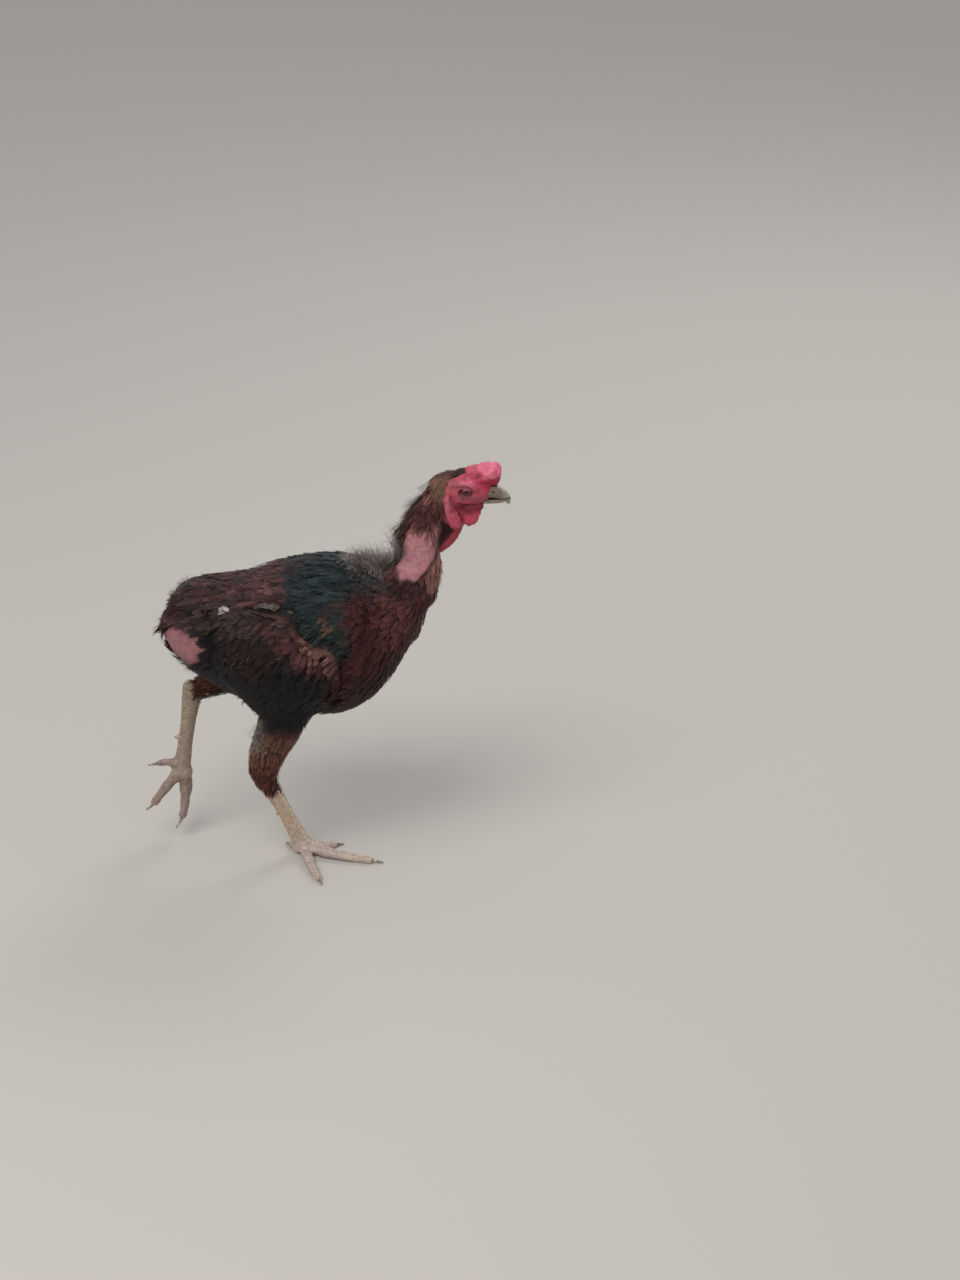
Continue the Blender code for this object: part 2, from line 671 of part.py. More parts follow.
def side_of_bird(side, trunk, tail):
    """One side's wing, flight feathers, thigh, leg and foot, and the hollows they leave in the trunk."""
    sign = -1 if side == "right" else 1
    thigh = THIGH_R if side == "right" else THIGH_L
    drumstick = DRUMSTICK_R if side == "right" else DRUMSTICK_L
    hock, ball_centre = (HOCK_R, BALL_R) if side == "right" else (HOCK_L, BALL_L)
    splay = Vector((-sign * math.sin(KNEE_OUT), math.cos(KNEE_OUT), 0))
    thigh_room = loft(thigh, **FINE, across=splay, facing=DOWN, grow=GAP)
    drumstick_room = loft(drumstick, **PLAIN, grow=GAP)
    piece(f"thigh_{side}", loft(thigh, **FINE, across=splay, facing=DOWN), "plumage_dark")
    flight_room = plate(swollen(flight_outline(), FLIGHT_ROOM), sign, WING_UNDER * HALF, FLIGHT_OVER + GAP)
    wing = piece(f"wing_{side}", plate(smooth_outline(WING), sign, WING_UNDER, WING_OVER), "plumage_red")
    carve(wing, flight_room, thigh_room)
    flight = piece(f"flight_{side}", plate(flight_outline(), sign, WING_UNDER, FLIGHT_OVER), "plumage_dark")
    carve(flight, thigh_room)
    for host in (trunk, tail):
        carve(host, thigh_room, drumstick_room, solver="MANIFOLD")
    shank_room = leg(side, drumstick, thigh_room, hock, ball_centre)
    if side == "right":
        foot(side, ball_centre, standing_toes(), DOWN * 0.3, shank_room)
    else:
        toes = {number: [BALL_L + Vector(point) for point in points] for number, points in HANGING.items()}
        foot(side, ball_centre, toes, Vector((-0.8, 0, -0.1)), shank_room)


def main():
    clear_scene()
    trunk, tail, lower, upper, head = body()
    head_pieces(head, upper, lower)
    side_of_bird("right", trunk, tail)
    side_of_bird("left", trunk, tail)


main()
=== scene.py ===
# %% [markdown]
# # A gamefowl cockerel in mid-stride
# The solids of the bird are already made: trunk, neck, head, wings, legs and toes, each a closed body
# that reaches out to the tips of the feathers. This lesson dresses them. One skin is run over all the
# flesh, scales and horn go on it, and then thousands of small mesh feathers are laid along the body by
# Geometry Nodes.

# %% Load the solids
import math

import bmesh
import bpy
import numpy as np
from mathutils import Matrix, Vector
from mathutils import noise
from mathutils.bvhtree import BVHTree


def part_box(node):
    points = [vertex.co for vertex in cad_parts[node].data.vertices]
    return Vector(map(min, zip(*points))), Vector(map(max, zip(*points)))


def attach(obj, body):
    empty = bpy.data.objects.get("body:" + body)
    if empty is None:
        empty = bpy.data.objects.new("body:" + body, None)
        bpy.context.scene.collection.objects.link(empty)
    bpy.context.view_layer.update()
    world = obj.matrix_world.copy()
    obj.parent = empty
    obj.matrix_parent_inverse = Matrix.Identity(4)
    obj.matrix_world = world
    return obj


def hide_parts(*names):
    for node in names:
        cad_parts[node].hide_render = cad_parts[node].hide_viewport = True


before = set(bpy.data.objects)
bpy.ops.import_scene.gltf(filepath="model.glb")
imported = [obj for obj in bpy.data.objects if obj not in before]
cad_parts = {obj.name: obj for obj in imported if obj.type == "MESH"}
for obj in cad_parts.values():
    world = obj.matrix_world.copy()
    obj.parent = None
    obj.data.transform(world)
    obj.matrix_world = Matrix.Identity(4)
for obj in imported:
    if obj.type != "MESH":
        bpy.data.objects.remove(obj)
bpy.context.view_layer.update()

MM = 0.001
METRE = 1000  # in millimetres
BODY = "root"

# %% [markdown]
# ## Helpers
# Colours are written as the sRGB hex values that a colour picker shows, and Blender mixes light in linear
# values, so one function turns them. Another adds a node with its settings and links, for every kind of tree.


# %% Colours and nodes
def linear(hex_colour):
    """An sRGB hex colour as linear red, green and blue."""
    channels = []
    for i in (1, 3, 5):
        value = int(hex_colour[i : i + 2], 16) / 255
        channels.append(value / 12.92 if value <= 0.04045 else ((value + 0.055) / 1.055) ** 2.4)
    return channels


def blend(colours, colour, share):
    """Moves an array of colours towards a hex colour, each by its own share."""
    colours += (np.array(linear(colour)) - colours) * np.reshape(share, (-1, 1))


def feed(tree, node, inputs):
    """Sets a node's inputs. Each is a value, an output socket, or a node whose first output is linked."""
    for key, value in inputs.items():
        source = value.outputs[0] if isinstance(value, bpy.types.Node) else value
        if isinstance(source, bpy.types.NodeSocket):
            tree.links.new(source, node.inputs[key])
        else:
            node.inputs[key].default_value = source


def add(tree, kind, inputs=None, **settings):
    """A new node with these settings and inputs."""
    made = tree.nodes.new(kind)
    for key, value in settings.items():
        setattr(made, key, value)
    feed(tree, made, inputs or {})
    return made


def principled(name, **constants):
    """A material with one Principled shader, its constants set, and its tree ready for more nodes."""
    made = bpy.data.materials.new(name)
    made.use_nodes = True
    shader = made.node_tree.nodes["Principled BSDF"]
    for socket, value in constants.items():
        shader.inputs[socket.replace("_", " ")].default_value = value
    return made, made.node_tree, shader


def place(name, mesh):
    """A new object at the origin, in the scene."""
    obj = bpy.data.objects.new(name, mesh)
    bpy.context.scene.collection.objects.link(obj)
    return obj


def baked(obj):
    """The plain mesh that the object's modifiers make."""
    graph = bpy.context.evaluated_depsgraph_get()
    return bpy.data.meshes.new_from_object(obj.evaluated_get(graph))


# %% [markdown]
# ## Studio
# A large soft light overhead and a bright, even surround, as under a thin cloud. The camera looks down at the
# bird from standing height, with a long lens.

# %% Floor, lights and camera
CAMERA_AT = (0.180, -2.668, 1.5)
CAMERA_TILT = math.radians(64.7)
CAMERA_LENS = 84.4
LIT = Vector((0.03, 0, 0.22))
LAMPS = (("key", (-0.7, -1.3, 2.3), 1.3, 34), ("rim", (1.1, 1.6, 1.9), 1.0, 13))


def studio():
    """The floor, the lights and the camera."""
    bpy.ops.mesh.primitive_plane_add(size=12)
    floor = bpy.context.object
    floor.name = "floor"
    paint = principled("pale_studio_floor", Base_Color=(*linear("#c2bcb3"), 1), Roughness=0.9)[0]
    floor.data.materials.append(paint)
    world = bpy.data.worlds.new("studio")
    world.use_nodes = True
    surround = world.node_tree.nodes["Background"]
    surround.inputs["Color"].default_value = (*linear("#eef1f6"), 1)
    surround.inputs["Strength"].default_value = 0.62
    bpy.context.scene.world = world
    for name, spot, size, power in LAMPS:
        lamp = bpy.data.lights.new(name, "AREA")
        lamp.size = size
        lamp.energy = power
        obj = place(name, lamp)
        obj.location = spot
        obj.rotation_euler = (LIT - Vector(spot)).to_track_quat("-Z", "Y").to_euler()
    lens = bpy.data.cameras.new("camera")
    lens.lens = CAMERA_LENS
    camera = place("camera", lens)
    camera.location = CAMERA_AT
    camera.rotation_euler = (CAMERA_TILT, 0, 0)
    bpy.context.scene.camera = camera
    bpy.context.scene.view_settings.view_transform = "Standard"


studio()

# %% [markdown]
# ## The skin's ground shape
# A bird is one skin from comb to toes, so every solid of flesh is swollen a little, until it meets its
# neighbours, and the heap is melted into a single mesh with a voxel remesh. A voxel is one size
# everywhere. The face and the feet need finer faces than the belly, so they are divided again afterwards.
# A Taubin smooth, one step in and a slightly longer step out, takes off the facets without shrinking the
# toes.

# %% Names of the flesh
SIDES = ("right", "left")
PAIRED_FLESH = ("ear_lobe", "wattle", "wing", "thigh", "drumstick", "shank", "foot")
FLESH = ["trunk", "tail", "neck_lower", "neck_upper", "head", "comb", "dewlap"]
FLESH += [f"{part}_{side}" for part in PAIRED_FLESH for side in SIDES]
FLESH += [f"toe_{number}_{side}" for number in (1, 2, 3, 4) for side in SIDES]
# Bill and eyeballs go into the melt too, so that the skin closes behind them, but they stay pieces of
# their own.
FILLING = ["bill_upper", "bill_lower", "eye_right", "eye_left"]
SOLIDS = FLESH + FILLING
SWELL = 0.45 * MM
VOXEL = 2.4 * MM


def melted(names, swell, voxel):
    """The solids of these names as one closed mesh of even, small faces."""
    heap = bmesh.new()
    for name in names:
        part = bmesh.new()
        part.from_mesh(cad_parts[name].data)
        bmesh.ops.remove_doubles(part, verts=part.verts, dist=1e-6)
        part.normal_update()
        shifts = [vertex.normal * swell for vertex in part.verts]
        for vertex, shift in zip(part.verts, shifts):
            vertex.co += shift
        copy = bpy.data.meshes.new("copy")
        part.to_mesh(copy)
        part.free()
        heap.from_mesh(copy)
        bpy.data.meshes.remove(copy)
    mesh = bpy.data.meshes.new("heap")
    heap.to_mesh(mesh)
    heap.free()
    obj = place("heap", mesh)
    remesh = obj.modifiers.new("melt", "REMESH")
    remesh.mode = "VOXEL"
    remesh.voxel_size = voxel
    result = baked(obj)
    bpy.data.objects.remove(obj)
    return result


def divide(mesh, wanted):
    """Halves the edges of the faces that lie where wanted(x, y, z) holds."""
    grid = bmesh.new()
    grid.from_mesh(mesh)
    edges = {edge for face in grid.faces if wanted(*face.calc_center_median()) for edge in face.edges}
    bmesh.ops.subdivide_edges(grid, edges=list(edges), cuts=1, use_grid_fill=True)
    grid.to_mesh(mesh)
    grid.free()


def in_head(x, y, z):
    return x > 0.098 and z > 0.300


def in_face(x, y, z):
    return x > 0.152 and z > 0.384


def in_eyes(x, y, z):
    return abs(x - 0.167) < 0.0085 and abs(z - 0.402) < 0.0080 and abs(y) > 0.006


def in_feet(x, y, z):
    right = z < 0.102 and y < 0.03 and x > -0.07
    left = x < -0.098 and z < 0.182 and y > 0.005
    return right or left


skin_mesh = melted(SOLIDS, SWELL, VOXEL)
divide(skin_mesh, lambda x, y, z: in_head(x, y, z) or in_feet(x, y, z))
divide(skin_mesh, in_face)
divide(skin_mesh, in_eyes)
print("skin triangles:", sum(len(face.vertices) - 2 for face in skin_mesh.polygons))

# %% [markdown]
# ## Working on all vertices at once
# NumPy holds the skin's points as one array. These helpers read and write it, spread a value to neighbouring
# vertices, and tell which solid each vertex belongs to, so that every part of the bird can be given its own
# depth of coat and its own lie.


# %% Arrays of the skin
def points_of(mesh):
    flat = np.empty(len(mesh.vertices) * 3)
    mesh.vertices.foreach_get("co", flat)
    return flat.reshape(-1, 3)


def set_points(mesh, points):
    mesh.vertices.foreach_set("co", points.ravel())
    mesh.update()


def normals_of(mesh):
    flat = np.empty(len(mesh.vertices) * 3)
    mesh.vertex_normals.foreach_get("vector", flat)
    return flat.reshape(-1, 3)


def edges_of(mesh):
    flat = np.empty(len(mesh.edges) * 2, dtype=np.int64)
    mesh.edges.foreach_get("vertices", flat)
    return flat.reshape(-1, 2)


def spread(values, edges, rounds, share=0.5):
    """Each value moved towards the mean of its neighbours' values, again and again."""
    values = np.array(values, dtype=float).reshape(len(values), -1)
    ends = np.concatenate([edges[:, 0], edges[:, 1]])
    others = np.concatenate([edges[:, 1], edges[:, 0]])
    degree = np.maximum(np.bincount(ends, minlength=len(values)), 1)
    for _ in range(rounds):
        for column in range(values.shape[1]):
            mean = np.bincount(ends, values[others, column], minlength=len(values)) / degree
            values[:, column] += share * (mean - values[:, column])
    return values


def taubin(points, edges, rounds, weight=None):
    """Smooths the shape without shrinking it."""
    for _ in range(rounds):
        for step in (0.5, -0.52):
            moved = spread(points, edges, 1, step)
            points = moved if weight is None else points + (moved - points) * weight[:, None]
    return points


def owners(points, names):
    """For each point, the place in the list of names of the solid nearest to it."""
    vertices, faces, owner = [], [], []
    for number, name in enumerate(names):
        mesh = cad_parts[name].data
        start = len(vertices)
        vertices += [vertex.co.copy() for vertex in mesh.vertices]
        faces += [[start + index for index in face.vertices] for face in mesh.polygons]
        owner += [number] * len(mesh.polygons)
    tree = BVHTree.FromPolygons(vertices, faces)
    return np.array([owner[tree.find_nearest(point)[2]] for point in points.tolist()])


def smooth(low, high, values):
    """0 below low, 1 above high, and a smooth rise between. Low may be the larger."""
    t = np.clip((values - low) / (high - low), 0, 1)
    return t * t * (3 - 2 * t)


def field(points, size, chosen=None, lumps=False):
    """A noise of this feature size, in waves or in round lumps: everywhere, or 0 where it isn't chosen."""
    values = np.zeros(len(points))
    for index in range(len(points)) if chosen is None else np.flatnonzero(chosen):
        spot = Vector(points[index]) / size
        values[index] = 1 - min(noise.voronoi(spot)[0][0] * 1.25, 1) if lumps else noise.noise(spot)
    return values


edges = edges_of(skin_mesh)
points = points_of(skin_mesh)
fine = np.array([in_head(*p) or in_feet(*p) for p in points.tolist()], dtype=float)
face_part = np.array([in_face(*p) for p in points.tolist()], dtype=float)
points = taubin(points, edges, 8)
points = taubin(points, edges, 14, fine)
points = taubin(points, edges, 14, face_part)
nearest = owners(points, SOLIDS)

# %% [markdown]
# ## Coat depth and lie
# The solids reach to the feather tips, so under feathers the skin sinks by the depth of the coat, and on the
# face, the comb and the feet it doesn't. Feathers lie from head to tail and down the legs: each part gets a
# direction, blended over the borders and pressed flat onto the skin.

# %% Depth and lie of each part
# Coat depth in millimetres, and the way the feathers point.
COAT = {
    "trunk": (5.6, (-1, 0, -0.40)),
    "tail": (7.0, (-1, 0, -0.22)),
    "neck_lower": (2.6, (-0.42, 0, -1)),
    "neck_upper": (3.0, (-0.40, 0, -1)),
    "head": (1.6, (-0.75, 0, -0.75)),
    "wing": (4.2, (-1, 0, -0.34)),
    "thigh": (4.6, (-0.55, 0, -0.85)),
    "drumstick_right": (3.0, (-0.20, 0, -1)),
    "drumstick_left": (3.0, (-0.92, 0, -0.30)),
    "bill": (1.5, (1, 0, 0)),
    "comb": (0.0, (-1, 0, -0.15)),
}
BARE = (0.0, (-0.1, 0, -1))


def by_part(table, name, otherwise):
    """The table's entry for the part that the name starts with."""
    return next((entry for part, entry in table.items() if name.startswith(part)), otherwise)


def part_mask(*parts):
    """1 at the vertices of the solids whose names start with these words."""
    chosen = [name.startswith(parts) for name in SOLIDS]
    return np.array(chosen, dtype=float)[nearest]


def from_segment(x, z, start, end):
    """How far each place is from a straight stretch of a line."""
    run, rise = end[0] - start[0], end[1] - start[1]
    t = np.clip(((x - start[0]) * run + (z - start[1]) * rise) / (run * run + rise * rise), 0, 1)
    return np.hypot(x - start[0] - t * run, z - start[1] - t * rise)


def in_metres(path):
    return [(x / METRE, z / METRE) for x, z in path]


def inside(points, corners, edge, wobble=0.0):
    """1 inside an outline drawn on the bird's side, by x and z in millimetres, with a soft edge."""
    x, z = points[:, 0] + wobble, points[:, 2] - wobble
    distance = np.full(len(points), np.inf)
    odd = np.zeros(len(points), dtype=bool)
    corners = in_metres(corners)
    for start, end in zip(corners, corners[1:] + corners[:1]):
        distance = np.minimum(distance, from_segment(x, z, start, end))
        rise = end[1] - start[1] or 1e-9
        odd ^= ((start[1] > z) != (end[1] > z)) & (x < (end[0] - start[0]) * (z - start[1]) / rise + start[0])
    return smooth(-edge / METRE, edge / METRE, np.where(odd, distance, -distance))


def stroke(points, path, width):
    """1 on a line drawn on both sides by x and z in millimetres, fading over its width."""
    path = in_metres(path)
    gaps = [from_segment(points[:, 0], points[:, 2], start, end) for start, end in zip(path, path[1:])]
    return np.exp(-((np.min(gaps, axis=0) / (width / METRE)) ** 2))


# Where the face's bare red skin ends behind and above, and the bare pink patches of neck and vent, in
# millimetres. The patches have a ragged edge.
FACE = [(156, 356), (147, 370), (145.5, 390), (148, 408), (151, 414), (158, 416.5), (165.5, 419.5),
        (168, 426), (170, 440), (220, 440), (220, 356), (170, 350)]
NECK_PATCH = [(98.5, 350), (106, 359), (120, 362), (132, 360), (137.5, 353), (137.5, 340), (134, 328),
              (125, 318), (115, 312), (104, 312), (98.5, 320), (97.5, 335)]
VENT_PATCH = [(-133, 264), (-105, 273.5), (-86, 270), (-83.5, 242), (-98, 224), (-130, 233)]
RAGGED_SIZE = 0.0065
RAGGED_BY = 0.0030

depths = np.array([by_part(COAT, name, BARE)[0] for name in SOLIDS])[nearest] * MM
lies = np.array([by_part(COAT, name, BARE)[1] for name in SOLIDS], dtype=float)[nearest]
red_parts = np.maximum(part_mask("ear_lobe", "wattle", "dewlap"), part_mask("comb") * (points[:, 0] > 0.1662))
face_bare = np.maximum(inside(points, FACE, 1.2), red_parts)
face_bare *= 1 - part_mask("bill")
ragged = field(points, RAGGED_SIZE) * RAGGED_BY
neck_bare = inside(points, NECK_PATCH, 2.5, ragged) * smooth(0.004, 0.010, np.abs(points[:, 1]))
vent_bare = inside(points, VENT_PATCH, 4, ragged) * part_mask("trunk", "tail")
feet_bare = part_mask("shank", "foot", "toe")
bare = np.clip(face_bare + neck_bare * 1.1 + vent_bare * 1.1 + feet_bare, 0, 1)
under_coat = spread(part_mask("trunk", "tail", "wing", "thigh"), edges, 6)[:, 0]
points = points + (spread(points, edges, 16) - points) * under_coat[:, None]
depths = spread(depths * (1 - bare), edges, 8)[:, 0]
lies = spread(lies, edges, 25)
set_points(skin_mesh, points)

# The thigh stands clear of the wing and the breast: a swell along its outline, and a hollow just beyond it.
HAM_EDGE = [(-80, 278), (-66, 289.5), (-40, 296.5), (-26, 295.5), (-12, 293), (3, 288), (12, 274),
            (22, 266.5), (34, 262.5), (41.5, 254), (46.6, 235.7), (46, 212), (36, 196)]
WING_EDGE = [(-122.8, 263.4), (-100.9, 275.8), (-78.7, 285), (-61.2, 295), (-41.9, 301), (-12.4, 301),
             (7.4, 303.6)]
HAM_MIDDLE = (-22, 240)


def beyond(path, middle, distance):
    """The path moved away from the middle by this distance."""
    moved = []
    for x, z in path:
        run, rise = x - middle[0], z - middle[1]
        far = math.hypot(run, rise)
        moved.append((x + run / far * distance, z + rise / far * distance))
    return moved


outer = smooth(0.022, 0.034, np.abs(points[:, 1]))
relief = 3.2 * stroke(points, beyond(HAM_EDGE, HAM_MIDDLE, -4.5), 6.0)
relief -= 5.5 * stroke(points, beyond(HAM_EDGE, HAM_MIDDLE, 4.5), 4.2)
relief += 2.0 * stroke(points, beyond(WING_EDGE, HAM_MIDDLE, 6), 4.0)
points = points + normals_of(skin_mesh) * (relief * outer * MM)[:, None]
set_points(skin_mesh, points)
points = points - normals_of(skin_mesh) * depths[:, None]
points = taubin(points, edges, 4)
points[:, 2] = np.maximum(points[:, 2], 0)
set_points(skin_mesh, points)
print("deepest coat:", round(depths.max() / MM, 1), "mm")

# %% [markdown]
# ## The skin's unwrap
# The skin is unwrapped while it is still smooth, by its own shape, so that the islands stay few and large.
# Every feather later takes the place of its root on this map.

# %% Unwrap
ISLAND_ANGLE = math.radians(66)
ISLAND_MARGIN = 0.002
BORDER = 0.003


def unwrap(mesh):
    """A Smart UV Project of the mesh alone, named OFBake, with a border left free round it."""
    obj = place("unwrap", mesh)
    mesh.uv_layers.new(name="OFBake")
    for other in bpy.context.selected_objects:
        other.select_set(False)
    bpy.context.view_layer.objects.active = obj
    obj.select_set(True)
    bpy.ops.object.mode_set(mode="EDIT")
    bpy.ops.mesh.select_all(action="SELECT")
    bpy.ops.uv.smart_project(angle_limit=ISLAND_ANGLE, island_margin=ISLAND_MARGIN)
    bpy.ops.object.mode_set(mode="OBJECT")
    bpy.data.objects.remove(obj)
    layer = mesh.uv_layers["OFBake"].data
    spots = np.empty(len(layer) * 2)
    layer.foreach_get("uv", spots)
    layer.foreach_set("uv", BORDER + spots * (1 - 2 * BORDER))
    print("unwrap spans:", spots.min().round(3), "to", spots.max().round(3))


unwrap(skin_mesh)

# %% [markdown]
# ## Face, comb and neck
# The head gets its form here: a brow that overhangs the eye, lids that close round the eyeball, lumps on the
# low comb, folds in the ear lobe and throat, and a grain of fine wrinkles. Each is a small push along the
# normal, written as a ridge, a groove or a field of lumps.

# %% Ridges, grooves and lumps
EYE = {side: sum(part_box(f"eye_{side}"), Vector()) / 2 for side in SIDES}
EYE_RADIUS = (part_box("eye_right")[1].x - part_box("eye_right")[0].x) / 2
FOLDS = [
    # height of the ridge, or depth of the groove, its width and its line
    # brow
    (1.5, 2.1, [(157.5, 408.5), (164, 409.5), (171, 407.8), (177, 404)]),
    # groove under it
    (-0.7, 1.0, [(160, 406.2), (165.5, 407.2), (171.5, 405)]),
    # corner of the bill
    (0.6, 1.6, [(186, 390.5), (176, 388.5), (166, 389), (157, 392.5)]),
    # throat
    (-0.9, 1.1, [(186, 388), (176, 385.7), (166, 386.2), (160, 389)]),
    # ear lobe
    (0.8, 1.4, [(150, 402), (148.2, 394), (148, 384), (150, 375), (153.5, 368)]),
    # groove before it
    (-0.9, 1.0, [(153, 398), (151.8, 390), (153, 383), (158, 380), (161, 370)]),
]
COMB_GROOVE = [(166, 412), (175, 407.5), (185, 404.5), (193, 403)]
COMB_FOOT = 0.414

red = face_bare > 0.3
comb = spread(part_mask("comb"), edges, 2)[:, 0]
soft_fold = spread(part_mask("ear_lobe", "wattle", "dewlap"), edges, 3)[:, 0]
side_on = smooth(0.004, 0.009, np.abs(points[:, 1]))
push = np.zeros(len(points))
for height, width, path in FOLDS:
    push += height * stroke(points, path, width) * side_on
push -= 0.8 * stroke(points, COMB_GROOVE, 1.2) * smooth(0.002, 0.006, np.abs(points[:, 1]))
push += comb * (2.9 * field(points, 0.0082, comb > 0.1, lumps=True) - 0.95)
push -= 0.9 * comb * smooth(0.170, 0.158, points[:, 0])
push += soft_fold * 0.55 * field(points * (1.5, 1, 0.55), 0.0030, soft_fold > 0.1)
push += face_bare * 0.34 * field(points, 0.0019, red)
push += face_bare * 0.16 * field(points, 0.0008, red)
push += neck_bare * 0.55 * (field(points, 0.0042, neck_bare > 0.1, lumps=True) - 0.35)
push += neck_bare * 0.5 * field(points * (1, 1, 2.6), 0.0075, neck_bare > 0.1)
push += vent_bare * 0.5 * field(points, 0.0050, vent_bare > 0.1, lumps=True)
points = points + normals_of(skin_mesh) * push[:, None] * MM
# The comb slopes down behind to meet the crown.
above_crown = np.maximum(points[:, 2] - COMB_FOOT, 0)
points[:, 2] -= 0.30 * smooth(0.185, 0.171, points[:, 0]) * above_crown

# %% [markdown]
# ### Lids
# The lids lie on the eyeball like a ring of thin skin round an almond opening. The opening's skin is pushed
# down behind the ball, and the ring is set to the ball's own curve plus a lid's thickness.

# %% Lids
LID = {"ahead": 4.4 * MM, "up": 2.4 * MM, "down": 2.7 * MM, "tilt": math.radians(-10), "thick": 0.7 * MM}
LID_EDGE = 1.0
LID_WIDE = 1.9


def with_lids(points):
    """The points near each eye moved to form the lids."""
    points = points.copy()
    for side in SIDES:
        sign = -1 if side == "right" else 1
        eye = EYE[side]
        dx, dz = points[:, 0] - eye.x, points[:, 2] - eye.z
        ahead = dx * math.cos(LID["tilt"]) + dz * math.sin(LID["tilt"])
        up = dz * math.cos(LID["tilt"]) - dx * math.sin(LID["tilt"])
        ring = np.hypot(ahead / LID["ahead"], np.where(up > 0, up / LID["up"], up / LID["down"]))
        near = (ring < LID_WIDE) & (points[:, 1] * sign > 0.004)
        ball = np.sqrt(np.maximum(EYE_RADIUS**2 - dx**2 - dz**2, 0))
        lid = eye.y * sign + ball + LID["thick"]
        hollow = eye.y * sign - 2.5 * MM
        target = lid + (hollow - lid) * smooth(LID_EDGE, LID_EDGE - 0.16, ring)
        mix = smooth(LID_WIDE, 1.25, ring) * near
        out = points[:, 1] * sign
        points[:, 1] = sign * (out + (target - out) * mix)
    return points


points = with_lids(points)
set_points(skin_mesh, points)
lid_zone = np.zeros(len(points))
for side in SIDES:
    reach = np.hypot(points[:, 0] - EYE[side].x, points[:, 2] - EYE[side].z)
    lid_zone = np.maximum(lid_zone, smooth(0.0085, 0.0055, reach) * face_bare)
print("face and lids shaped:", int(red.sum()), "vertices")

# %% [markdown]
# ## Markings
# The bird's colours are laid out once, as soft-edged areas drawn on its side, and both the skin and the
# feathers read them. A slow noise bends every border, so that no edge looks ruled. Mahogany covers the
# back and the wing, a blue-green gloss the shoulder, near black the belly and thighs, and olive brown the
# hackle.

